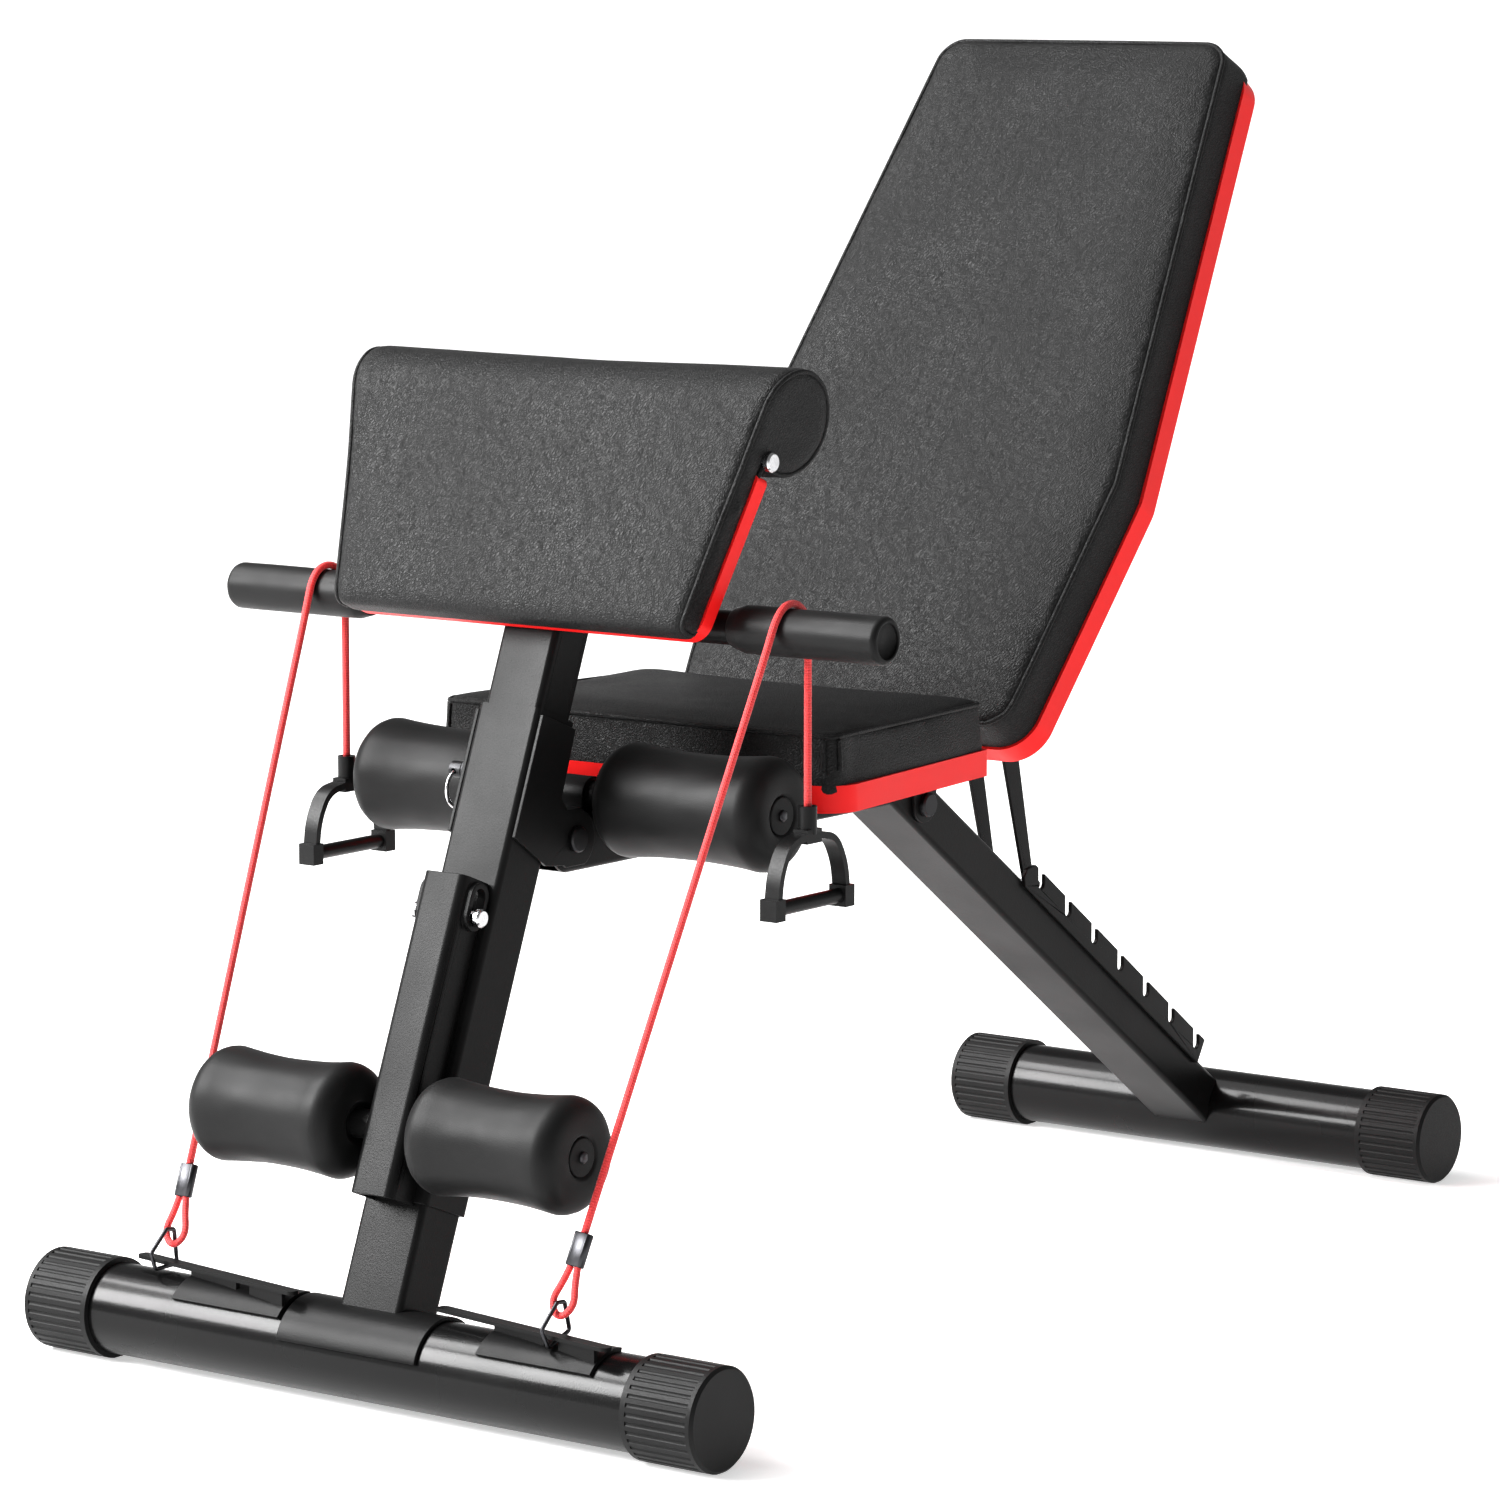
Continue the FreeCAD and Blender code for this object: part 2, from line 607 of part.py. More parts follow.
knee_centre = point(0, KNEE_AXLE_AT, BEAM_TOP + AXLE_RADIUS)
ankle_centre = upright.at(*ANKLE_AXLE)
knee_half = KNEE_ROLLER[1] - 2.6
ankle_half = ANKLE_ROLLER[1] - 2.6
for name, span, centre in (("knee", KNEE_ROLLER, knee_centre), ("ankle", ANKLE_ROLLER, ankle_centre)):
    right = roller(span[0], span[1], centre)
    save(name + "_roller_right", right)
    save(name + "_roller_left", mirrored(right))
save("knee_axle", axle(knee_half, knee_centre))
save("knee_axle_plugs", axle_plugs(knee_half, knee_centre))
save("ankle_axle", axle(ankle_half, ankle_centre))
save("ankle_axle_plugs", axle_plugs(ankle_half, ankle_centre))


def axle_saddle():
    """An omega-shaped strap over the knee axle, welded to the top of the beam."""
    c, sheet = knee_centre, 3.0
    outer, half = AXLE_RADIUS + sheet, 14
    legs = block(-half, half, c.y - outer, c.y + outer, BEAM_TOP, c.z)
    feet = block(-half, half, c.y - 26, c.y + 26, BEAM_TOP, BEAM_TOP + sheet)
    under = block(-20, 20, c.y - AXLE_RADIUS, c.y + AXLE_RADIUS, BEAM_TOP - 5, c.z)
    whole = fused([cylinder_x(-half, half, c, outer), legs, feet])
    return whole.cut(under).cut(cylinder_x(-20, 20, c, AXLE_RADIUS)).cut(
        block(-20, 20, c.y - 40, c.y + 40, BEAM_TOP - 20, BEAM_TOP))


save("axle_saddle", axle_saddle())


# ---------------------------------------------------------------- leg hook that slides on the upright
def hook_channel():
    low, high = HOOK_SPAN
    half, rear = HOOK_HALF_WIDTH, -SLEEVE_DEPTH / 2 - 0.4
    outer = block(-half, half, HOOK_FRONT, rear, low, high)
    front_edges = [e for e in outer.Edges if abs(e.Vertexes[0].Z - e.Vertexes[-1].Z) > 1
                   and abs(e.Vertexes[0].Y - HOOK_FRONT) < 0.01]
    outer = outer.makeFillet(6.0, front_edges)
    inner = block(-half + HOOK_THICKNESS, half - HOOK_THICKNESS, HOOK_FRONT + HOOK_THICKNESS,
                  rear + 1, low - 1, high + 1)
    along, across = HOOK_PIN
    guides = [slot_block(x0, x0 + 4.0, along, across, 9.0) for x0 in (half, -half - 4.0)]
    slots = slot_block(-60, 60, along, across, 5.2)
    channel = outer.cut(inner).multiFuse(guides).cut(slots)
    channel = upright.place(channel)
    channel = channel.cut(cylinder_x(-60, 60, ankle_centre, AXLE_RADIUS))
    return channel.cut(hook_collar(solid=True))


def slot_block(x0, x1, along, across, radius):
    """A slot-shaped solid along X in local axes, from the pin's place up by the hook's travel."""
    low = Part.makeCylinder(radius, x1 - x0, Vector(x0, across, along), Vector(1, 0, 0))
    high = low.translated(Vector(0, 0, HOOK_TRAVEL + 0.6))
    middle = block(x0, x1, across - radius, across + radius, along, along + HOOK_TRAVEL + 0.6)
    return fused([low, high, middle])


def hook_collar(solid=False):
    """A rectangular collar round the sleeve that guides the leg hook's lower end."""
    low, high = 97.0, 127.0
    gap, wall = 0.5, 2.0
    width, depth = SLEEVE_WIDTH + 2 * (gap + wall), SLEEVE_DEPTH + 2 * (gap + wall)
    outer = rounded_bar(width, depth, low, high, TUBE_CORNER + gap)
    if solid:
        return upright.place(outer)
    inner = rounded_bar(width - 2 * wall, depth - 2 * wall, low - 1, high + 1, TUBE_CORNER)
    return upright.place(outer.cut(inner))


save("hook_channel", hook_channel())
save("hook_collar", hook_collar())


# ---------------------------------------------------------------- arm post, handlebar and preacher pad
def arm_post():
    post = tube(upright, POST_BOTTOM, POST_TOP, POST_WIDTH, POST_DEPTH)
    post = post.cut(cylinder_x(-60, 60, upright.at(BAR_AT), BAR_RADIUS))
    holes = [lock_hole(LOCK_HEIGHT - LOCK_PITCH * k) for k in range(LOCK_HOLES)]
    return post.cut(Part.makeCompound(holes))


def grip():
    """A foam grip on the handlebar, tapered at its inner end."""
    centre = upright.at(BAR_AT)
    inner, outer = GRIP_SPAN
    base = Vector(0, centre.y, centre.z)
    profile = [(inner, BAR_RADIUS), (inner, 12.8), (inner + 9, GRIP_RADIUS), (outer - 3, GRIP_RADIUS),
               (outer, GRIP_RADIUS - 3), (outer, BAR_RADIUS)]
    corners = [base + Vector(x, 0, r) for x, r in profile]
    return Part.Face(Part.makePolygon(corners + corners[:1])).revolve(base, Vector(1, 0, 0), 360)


def arm_outline(low, high, grow):
    """Corners of the arm pad's outline, which widens upwards."""
    slope = (ARM_PAD_WIDTHS[1] - ARM_PAD_WIDTHS[0]) / 2 / (ARM_PAD_SPAN[1] - ARM_PAD_SPAN[0])
    half_low = ARM_PAD_WIDTHS[0] / 2 + slope * (low - ARM_PAD_SPAN[0]) + grow
    half_high = ARM_PAD_WIDTHS[0] / 2 + slope * (high - ARM_PAD_SPAN[0]) + grow
    return [(-half_low, low), (half_low, low), (half_high, high), (-half_high, high)]


def arm_pad():
    low, high = ARM_PAD_SPAN
    roll_at = high - ROLL_RADIUS
    roll_across = ARM_PAD_FRONT + ROLL_RADIUS
    flat = slab(upright, arm_outline(low, roll_at, 0), ARM_PAD_FRONT, ARM_PAD_BACK, (14, 14, 0, 0))
    roll = cylinder_x(-200, 200, upright.at(roll_at, roll_across), ROLL_RADIUS)
    taper = slab(upright, arm_outline(low, high + 5, 0), -60, 60, (0, 0, 0, 0))
    pad = fused([flat, roll.common(taper)])
    rod_at = upright.at(*ROLL_ROD)
    for x0, x1 in ((-200, -rod_half), (rod_half, 200)):
        pad = pad.cut(cylinder_x(x0, x1, rod_at, ROLL_ROD_HEAD + 0.3))
    return pad.cut(cylinder_x(-200, 200, rod_at, 4.0))


ARM_PLATE = 2.5
rod_half = arm_outline(ROLL_ROD[0], ROLL_ROD[0] + 1, 0)[1][0]
arm_screws, arm_holes = [], []
for screw_x in (-46, 46):
    for along in (520, 562):
        arm_screws.append(screw(upright, screw_x, along, ARM_BOARD_BACK + ARM_PLATE, 9.0))
        arm_holes.append(screw_hole(upright, screw_x, along, ARM_BOARD_BACK + ARM_PLATE, 9.0))
arm_drill = Part.makeCompound(arm_holes)
arm_board = slab(upright, arm_outline(ARM_PAD_SPAN[0] + 0.5, ARM_BOARD_TOP, 1.5),
                 ARM_PAD_BACK, ARM_BOARD_BACK, (14, 14, 4, 4))
arm_plate = upright.place(block(-60, 60, ARM_BOARD_BACK, ARM_BOARD_BACK + ARM_PLATE, 505, 576))
save("arm_post_tube", arm_post())
save("handlebar", ring_x(-BAR_HALF, BAR_HALF, upright.at(BAR_AT), BAR_RADIUS, BAR_RADIUS - 1.5))
save("handlebar_grips", both_sides(grip()))
save("handlebar_plugs", both_sides(
    cylinder_x(BAR_HALF - 12, BAR_HALF + 1.5, upright.at(BAR_AT), BAR_RADIUS - 1.5)))
save("arm_pad", arm_pad())
save("arm_board", arm_board.cut(arm_drill))
save("arm_plate", arm_plate.cut(arm_drill))
save("arm_screws", Part.makeCompound(arm_screws))
save("roll_rod", bolt_x(upright.at(*ROLL_ROD), 4.0, -rod_half, rod_half, ROLL_ROD_HEAD, 4.5))


# ---------------------------------------------------------------- backrest
def back_outline(grow):
    low, mid, top = (w / 2 + grow for w in (BACK_BOTTOM_WIDTH, BACK_SHOULDER_WIDTH, BACK_TOP_WIDTH))
    return [(-low, -grow), (low, -grow), (mid, BACK_SHOULDER), (top, BACK_LENGTH + grow),
            (-top, BACK_LENGTH + grow), (-mid, BACK_SHOULDER)]


BACK_CORNERS = (28, 28, 30, 26, 26, 30)
rear_face = PAD_THICKNESS + BOARD_THICKNESS
bracket_face = rear_face + BRACKET_THICKNESS
WINGS = (114.0, 214.0)
back_screws, back_holes = [], []
for along in WINGS:
    for x in (-56, 56):
        back_screws.append(screw(back, x, along, bracket_face, 14))
        back_holes.append(screw_hole(back, x, along, bracket_face, 14))
back_drill = Part.makeCompound(back_holes)


def back_bracket():
    """A channel on the back board: ears down to the pivot, lugs for the strut, and two wings."""
    outer = EAR_INSIDE + EAR_THICKNESS
    web = back.place(block(-outer, outer, rear_face, bracket_face, 12, 228))
    wings = [back.place(block(-72, 72, rear_face, bracket_face, t - 14, t + 14)) for t in WINGS]
    ear_corners = [back.at(12, rear_face), back.at(92, rear_face), back.at(92, 66),
                   back.at(-11, 109), back.at(-31, 94)]
    lug_at, lug_across = STRUT_HINGE
    lug_corners = [back.at(lug_at - 19, rear_face), back.at(lug_at + 19, rear_face),
                   back.at(lug_at + 11, lug_across), back.at(lug_at - 11, lug_across)]
    lug_inside = STRUT_WIDTH / 2 + 0.7
    pieces = [web] + wings
    for x in (-outer, EAR_INSIDE):
        pieces.append(prism(ear_corners, x, x + EAR_THICKNESS))
        pieces.append(cylinder_x(x, x + EAR_THICKNESS, back_pivot, 13))
    for x in (-lug_inside - 3, lug_inside):
        pieces.append(prism(lug_corners, x, x + 3))
        pieces.append(cylinder_x(x, x + 3, strut_top, 11))
    body = fused(pieces).cut(back_drill)
    body = body.cut(cylinder_x(-80, 80, back_pivot, PIVOT_RADIUS + RUNNING))
    return body.cut(cylinder_x(-80, 80, strut_top, STRUT_BOLT_RADIUS))


save("back_pad", slab(back, back_outline(0), 0, PAD_THICKNESS, BACK_CORNERS))
save("back_board", slab(back, back_outline(BOARD_PROUD), PAD_THICKNESS, rear_face,
                        BACK_CORNERS).cut(back_drill))
save("back_bracket", back_bracket())
save("back_screws", Part.makeCompound(back_screws))
save("strut_bolt", bolt_x(strut_top, STRUT_BOLT_RADIUS, -21.4, 21.4, 7.0, 4.0))


# ---------------------------------------------------------------- backrest strut
def strut_channel():
    """A folded channel, open to the front, whose sides narrow to the pin that sits in the ladder."""
    half, deep = STRUT_WIDTH / 2, STRUT_DEPTH / 2
    length = strut_reach.Length
    taper, tip, sheet = length - 100, 5.5, 2.5
    outline = [strut.at(0, -deep), strut.at(taper, -deep), strut.at(length, -tip),
               strut.at(length, tip), strut.at(taper, deep), strut.at(0, deep)]
    sides = []
    for x in (-half, half - sheet):
        sides.append(prism(outline, x, x + sheet))
        sides.append(cylinder_x(x, x + sheet, strut_top, deep))
        sides.append(cylinder_x(x, x + sheet, strut_pin_at, tip))
    web = strut.place(block(-half, half, -deep, -deep + sheet, 14, taper))
    body = fused(sides + [web])
    body = body.cut(cylinder_x(-60, 60, strut_top, STRUT_BOLT_RADIUS + RUNNING))
    return body.cut(cylinder_x(-60, 60, strut_pin_at, STRUT_PIN_RADIUS))


save("strut_channel", strut_channel())
save("strut_pin", cylinder_x(-STRUT_PIN_HALF, STRUT_PIN_HALF, strut_pin_at, STRUT_PIN_RADIUS))


# ---------------------------------------------------------------- elastic cords and their hand grips
# Each cord's route: from its ferrule up to the grip, over it and straight down into the hand grip.
CORD_ROUTES = {
    "right": [
        (159.4, 11.4, 131.7),
        (190.6, 157.4, 478.6),
        (192.4, 168.9, 506.1),
        (192.4, 186.5, 510.7),
        (192.4, 200.6, 499.7),
        (192.4, 200.6, 376.0),
    ],
    "left": [
        (-177.6, 24.0, 130.2),
        (-188.6, 157.8, 477.9),
        (-190.0, 168.4, 505.7),
        (-190.0, 186.5, 510.7),
        (-190.0, 200.6, 499.7),
        (-190.0, 200.6, 376.0),
    ],
}
TAUT_GAP = 0.4                # between a cord's two solids, which are on different bodies
EYE_DROP = 51.6               # from the top of the ferrule down to the bottom of the eye
FERRULE_LENGTH = 21.6


def cord_eye(route):
    """The loop below the ferrule that goes round the clip's top."""
    run = (route[1] - route[0]).normalize()
    side = (Vector(1, 0, 0) - run * run.x).normalize()
    bottom = route[0] - run * EYE_DROP
    outline = [(-2.8, 29.5), (-4.5, 20), (-9, 7), (-3.5, -1.5), (3.5, -1.5), (9, 7), (4.5, 20),
               (2.8, 29.5)]
    wire, _ = routed([bottom + side * across + run * up for across, up in outline])
    return piped(wire, CORD_RADIUS - 0.2)


def ferrule(route):
    """A crimped oval sleeve."""
    run = (route[1] - route[0]).normalize()
    side = (Vector(1, 0, 0) - run * run.x).normalize()
    front = run.cross(side)
    reach = run * FERRULE_LENGTH
    low = route[0] - reach
    half, radius = 2.9, 3.7
    ends = [cylinder(low + side * s, low + side * s + reach, radius) for s in (-half, half)]
    flat = [low + side * a + front * b for a, b in
            ((-half, -radius), (half, -radius), (half, radius), (-half, radius))]
    middle = Part.Face(Part.makePolygon(flat + flat[:1])).extrude(reach)
    return fused(ends + [middle])


def hand_grip():
    """A moulded D handle that hangs from its origin: a neck, a hub, two strap legs and a round bar."""
    swing = math.tan(math.radians(28))
    neck_radius, mouth, depth = 6.0, CORD_RADIUS + 0.3, 2.6
    pieces = [Part.makeCylinder(neck_radius, 18, Vector(0, 0, depth - 18)),
              block(-5.5, 5.5, -8, 8, -21, -12)]
    for sign in (-1, 1):
        bends = [(4, -16), (24, -19), (34.5, -37), (HANDLE_HALF, HANDLE_BAR)]
        wire, _ = routed([Vector(0, sign * a, b) for a, b in bends])
        strap = Part.makePolygon([Vector(x, sign * 4, -16 + z) for x, z in
                                  ((-5.5, -2.2), (5.5, -2.2), (5.5, 2.2), (-5.5, 2.2), (-5.5, -2.2))])
        pieces.append(wire.makePipeShell([strap], True, False))
        end = sign * HANDLE_HALF
        pieces.append(block(-6.5, 6.5, end - 5, end + 5, HANDLE_BAR - 7, HANDLE_BAR + 7))
    pieces.append(Part.makeCylinder(4.8, 2 * HANDLE_HALF, Vector(0, -HANDLE_HALF, HANDLE_BAR),
                                    Vector(0, 1, 0)))
    flare = Part.makeCone(mouth, mouth + depth * swing, depth)
    return fused(pieces).cut(flare).cut(Part.makeSphere(mouth + 0.1))


grip_shape = hand_grip()
eyes, ferrules = [], []
for side, places in CORD_ROUTES.items():
    route = [point(*p) for p in places]
    run = (route[1] - route[0]).normalize()
    save("cord_taut_" + side, cylinder(route[0], route[1] - run * TAUT_GAP, CORD_RADIUS))
    upper, radii = routed(route[1:])
    print("cord", side, "arcs", [round(r, 1) for r in radii],
          "length", round((route[1] - route[0]).Length + upper.Length, 1))
    save("cord_drop_" + side, piped(upper, CORD_RADIUS))
    save("hand_grip_" + side, grip_shape.translated(route[-1]))
    eyes.append(cord_eye(route))
    ferrules.append(ferrule(route))
save("cord_eyes", Part.makeCompound(eyes))
save("cord_ferrules", Part.makeCompound(ferrules))


# ---------------------------------------------------------------- write every sub-part
os.makedirs("parts", exist_ok=True)
for old in os.listdir("parts"):
    if old.endswith(".step") and old[:-5] not in PARTS:
        os.remove(os.path.join("parts", old))
for name, shape in PARTS.items():
    if not shape.isValid():
        print("invalid shape:", name)
    shape.exportStep(os.path.join("parts", name + ".step"))
print(len(PARTS), "sub-parts")
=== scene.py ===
"""Looks of the decline sit-up bench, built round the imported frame.

Metres, in the frame of the CAD part: +Z up, the bench along Y with its upright at -Y.
"""

import json
import math

import bmesh
import bpy
from mathutils import Matrix, Vector, noise
from mathutils.bvhtree import BVHTree


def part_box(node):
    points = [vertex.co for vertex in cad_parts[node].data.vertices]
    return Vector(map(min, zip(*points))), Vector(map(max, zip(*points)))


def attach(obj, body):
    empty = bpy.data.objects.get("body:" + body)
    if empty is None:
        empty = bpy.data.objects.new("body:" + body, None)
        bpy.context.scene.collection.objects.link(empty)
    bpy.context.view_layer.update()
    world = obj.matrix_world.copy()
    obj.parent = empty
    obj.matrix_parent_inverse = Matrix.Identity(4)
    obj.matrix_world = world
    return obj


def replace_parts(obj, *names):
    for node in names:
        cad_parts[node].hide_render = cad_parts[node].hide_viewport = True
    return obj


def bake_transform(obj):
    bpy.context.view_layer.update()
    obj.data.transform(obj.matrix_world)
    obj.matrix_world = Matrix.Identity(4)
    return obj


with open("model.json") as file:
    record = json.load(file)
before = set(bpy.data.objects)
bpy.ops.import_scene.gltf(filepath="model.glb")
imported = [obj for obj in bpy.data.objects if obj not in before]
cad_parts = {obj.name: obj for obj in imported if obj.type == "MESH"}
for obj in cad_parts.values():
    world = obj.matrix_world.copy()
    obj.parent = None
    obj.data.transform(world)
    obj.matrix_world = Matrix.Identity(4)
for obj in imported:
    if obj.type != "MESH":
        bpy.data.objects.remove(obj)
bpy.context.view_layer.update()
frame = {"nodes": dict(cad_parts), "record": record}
scene = bpy.context.scene

# ---------------------------------------------------------------- driving dimensions
UPRIGHT_LEAN = math.radians(21.5)     # back from vertical
BACK_ANGLE = math.radians(56.05)      # above horizontal
CORD_DIAMETER = 0.005
WIRE_SIDES = 12
PAD_VOXEL = 0.005
PAD_SWELL = 0.0042                    # furthest that the air in a pad moves its cover
ARM_SWELL = 0.0016
STRETCH_STIFFNESS = 18
AIR_PRESSURE = 4.0
LAST_FRAME = 20
EVENING_ROUNDS = 14                   # how often the swelling is averaged, so creases fade
HELD_DEPTH = 0.009                    # the cover is held to its board this far forward
SEAM_SHARE = 0.3                      # where on a round edge its seam lies
RIPPLES = ((14.0, 0.00025), (60.0, 0.00008))    # ripples in the covers: how many in a metre, how deep
PAD_INSET = 0.0012                    # the pads start smaller, because they swell
PAD_ROUND = 0.0085                    # radius of a pad's front edges
SEAT_ROUND = 0.0048
PIPING_RADIUS = 0.0017
BOARD_PAD_THICKNESS = 0.033
WRAP = 0.0027                         # the covers wrap over part of their boards' edges
WRAP_DEPTH = 0.0075
SEAT_RISE = 0.002                     # how far the seat's cover stands above its foam
PLEAT_OFF_CORNER = 0.011              # the seat's pleats, from its front corners and from its top
PLEAT_TOP = 0.004
PLEAT_LENGTH = 0.021
BACK_OVERHANG = 0.009                 # how far the back's cover stands above its board
ARM_FRONT = -0.050                    # the arm pad's faces, across the upright and along it
ARM_BACK = -0.0255                    # the cover wraps over the front half of the board's edge
ARM_BOTTOM = 0.4732
ARM_TOP = 0.661
ARM_WRAP = 0.0019
ARM_BOARD_TOP = 0.585
ROLL_RADIUS = 0.037


# ---------------------------------------------------------------- camera, floor and light
def make_camera():
    """A long lens in front of the bench and to its right, a little above the seat."""
    data = bpy.data.cameras.new("camera")
    data.lens = 139.96
    data.sensor_width = 36.0
    camera = bpy.data.objects.new("camera", data)
    camera.location = (2.33092, -3.25971, 0.92962)
    camera.rotation_euler = (math.radians(90 - 8.019), 0, math.radians(36.349))
    scene.collection.objects.link(camera)
    scene.camera = camera


def area_light(name, place, target, size, power):
    """A rectangular soft box at place, turned towards target."""
    data = bpy.data.lights.new(name, "AREA")
    data.shape = "RECTANGLE"
    data.size, data.size_y = size
    data.energy = power
    light = bpy.data.objects.new(name, data)
    light.location = place
    light.rotation_euler = (Vector(target) - Vector(place)).to_track_quat("-Z", "Y").to_euler()
    scene.collection.objects.link(light)


def make_floor():
    """A plain pale floor that glows a little, so shadows on it stay light."""
    bpy.ops.mesh.primitive_circle_add(vertices=128, radius=200, fill_type="NGON")
    floor = bpy.context.object
    floor.name = "floor"
    made, tree, shader = new_material("pale_floor")
    shader.inputs["Base Color"].default_value = (0.80, 0.80, 0.80, 1)
    shader.inputs["Roughness"].default_value = 0.7
    shader.inputs["Specular IOR Level"].default_value = 0.2
    shader.inputs["Emission Color"].default_value = (1, 1, 1, 1)
    shader.inputs["Emission Strength"].default_value = 0.55
    floor.data.materials.append(made)


def make_sky():
    """White at the horizon, so the floor has no visible edge, and darker overhead."""
    world = bpy.data.worlds.new("studio")
    world.use_nodes = True
    tree = world.node_tree
    direction = add_node(tree, "ShaderNodeTexCoord").outputs["Generated"]
    height = add_node(tree, "ShaderNodeSeparateXYZ", {"Vector": direction}).outputs["Z"]
    tree.links.new(ramp(tree, height, 1.0, 0.26, 0.04, 0.30), tree.nodes["Background"].inputs["Strength"])
    tree.nodes["Background"].inputs["Color"].default_value = (1, 1, 1, 1)
    scene.world = world


def make_light():
    """A wide soft key from the upper left, two soft boxes in front and a weak one on the right."""
    data = bpy.data.lights.new("key", "SUN")
    data.energy = 2.1
    data.angle = math.radians(55)
    key = bpy.data.objects.new("key", data)
    key.rotation_euler = Vector((-1.3, -0.7, 2.3)).to_track_quat("Z", "Y").to_euler()
    scene.collection.objects.link(key)
    area_light("front", (-2.1, -2.5, 1.9), (0, -0.4, 0.4), (1.3, 1.5), 245)
    area_light("upper", (-2.2, -1.1, 3.2), (0, 0.1, 0.6), (1.2, 1.2), 110)
    area_light("side", (3.0, 0.9, 1.3), (0, 0, 0.4), (0.3, 1.4), 4)
    scene.view_settings.view_transform = "Standard"
    scene.view_settings.look = "None"
    scene.view_settings.gamma = 0.86


# ---------------------------------------------------------------- node helpers
def new_material(name):
    """A new material, with its node tree and its shader."""
    made = bpy.data.materials.new(name)
    made.use_nodes = True
    tree = made.node_tree
    return made, tree, tree.nodes["Principled BSDF"]


def add_node(tree, kind, inputs=(), **settings):
    """A new node. inputs is a dict of socket name or number to a value or to another node's output."""
    made = tree.nodes.new(kind)
    for key, value in settings.items():
        setattr(made, key, value)
    for key, value in dict(inputs).items():
        if isinstance(value, bpy.types.NodeSocket):
            tree.links.new(value, made.inputs[key])
        else:
            made.inputs[key].default_value = value
    return made


def place_in(tree):
    """The place on the object, in metres."""
    return add_node(tree, "ShaderNodeTexCoord").outputs["Object"]


def noise_in(tree, place, scale, detail=3.0, rough=0.5):
    """Cloudy noise from 0 to 1. scale is about the number of clouds in a metre."""
    made = add_node(tree, "ShaderNodeTexNoise",
                    {"Vector": place, "Scale": scale, "Detail": detail, "Roughness": rough})
    return made.outputs["Fac"]


def ramp(tree, factor, low, high, start=0.0, end=1.0):
    """Goes evenly from low to high as factor goes from start to end."""
    made = add_node(tree, "ShaderNodeMapRange", {"Value": factor, "From Min": start, "From Max": end,
                                                "To Min": low, "To Max": high})
    return made.outputs["Result"]


def colour_ramp(tree, factor, stops):
    """A change of colour along factor. stops is a list of (place, colour)."""
    made = add_node(tree, "ShaderNodeValToRGB", {"Fac": factor})
    elements = made.color_ramp.elements
    while len(elements) < len(stops):
        elements.new(0.5)
    for element, (at, colour) in zip(elements, stops):
        element.position = at
        element.color = (*colour, 1)
    return made.outputs["Color"]


def maths(tree, operation, first, second=0.0):
    """The result of one sum on numbers or outputs."""
    return add_node(tree, "ShaderNodeMath", {0: first, 1: second}, operation=operation).outputs[0]


def bump(tree, height, strength, distance, below=None):
    """A normal pushed about by height, on top of the normal below it."""
    inputs = {"Height": height, "Strength": strength, "Distance": distance}
    if below is not None:
        inputs["Normal"] = below
    return add_node(tree, "ShaderNodeBump", inputs).outputs["Normal"]


def grey(value):
    """A grey with a trace of blue."""
    return (value, value, value * 1.01)


# ---------------------------------------------------------------- materials
def powder_coat(name, dark, light, rough, coat):
    """Powder-coated steel: a fine orange-peel skin with a little wear in its shine."""
    made, tree, shader = new_material(name)
    place = place_in(tree)
    broad = noise_in(tree, place, 9.0, 4.0)
    peel = noise_in(tree, place, 900.0, 2.0)
    speck = noise_in(tree, place, 2600.0, 1.0)
    tree.links.new(colour_ramp(tree, broad, [(0.3, grey(dark)), (0.75, grey(light))]),
                   shader.inputs["Base Color"])
    tree.links.new(ramp(tree, broad, rough - 0.06, rough + 0.08, 0.3, 0.7), shader.inputs["Roughness"])
    fine = bump(tree, speck, 0.12, 0.0002)
    tree.links.new(bump(tree, peel, 0.16, 0.0006, fine), shader.inputs["Normal"])
    shader.inputs["Specular IOR Level"].default_value = 0.12
    shader.inputs["Coat Weight"].default_value = coat
    shader.inputs["Coat Roughness"].default_value = 0.12
    return made


def moulded_plastic(name, dark, rough, grain):
    """Moulded plastic with a fine spark-eroded grain."""
    made, tree, shader = new_material(name)
    place = place_in(tree)
    spots = noise_in(tree, place, grain, 3.0, 0.6)
    broad = noise_in(tree, place, 22.0, 3.0)
    tree.links.new(colour_ramp(tree, broad, [(0.3, grey(dark)), (0.8, grey(dark * 1.6))]),
                   shader.inputs["Base Color"])
    tree.links.new(ramp(tree, spots, rough - 0.05, rough + 0.12, 0.3, 0.7), shader.inputs["Roughness"])
    tree.links.new(bump(tree, spots, 0.22, 0.0003), shader.inputs["Normal"])
    shader.inputs["Specular IOR Level"].default_value = 0.2
    return made


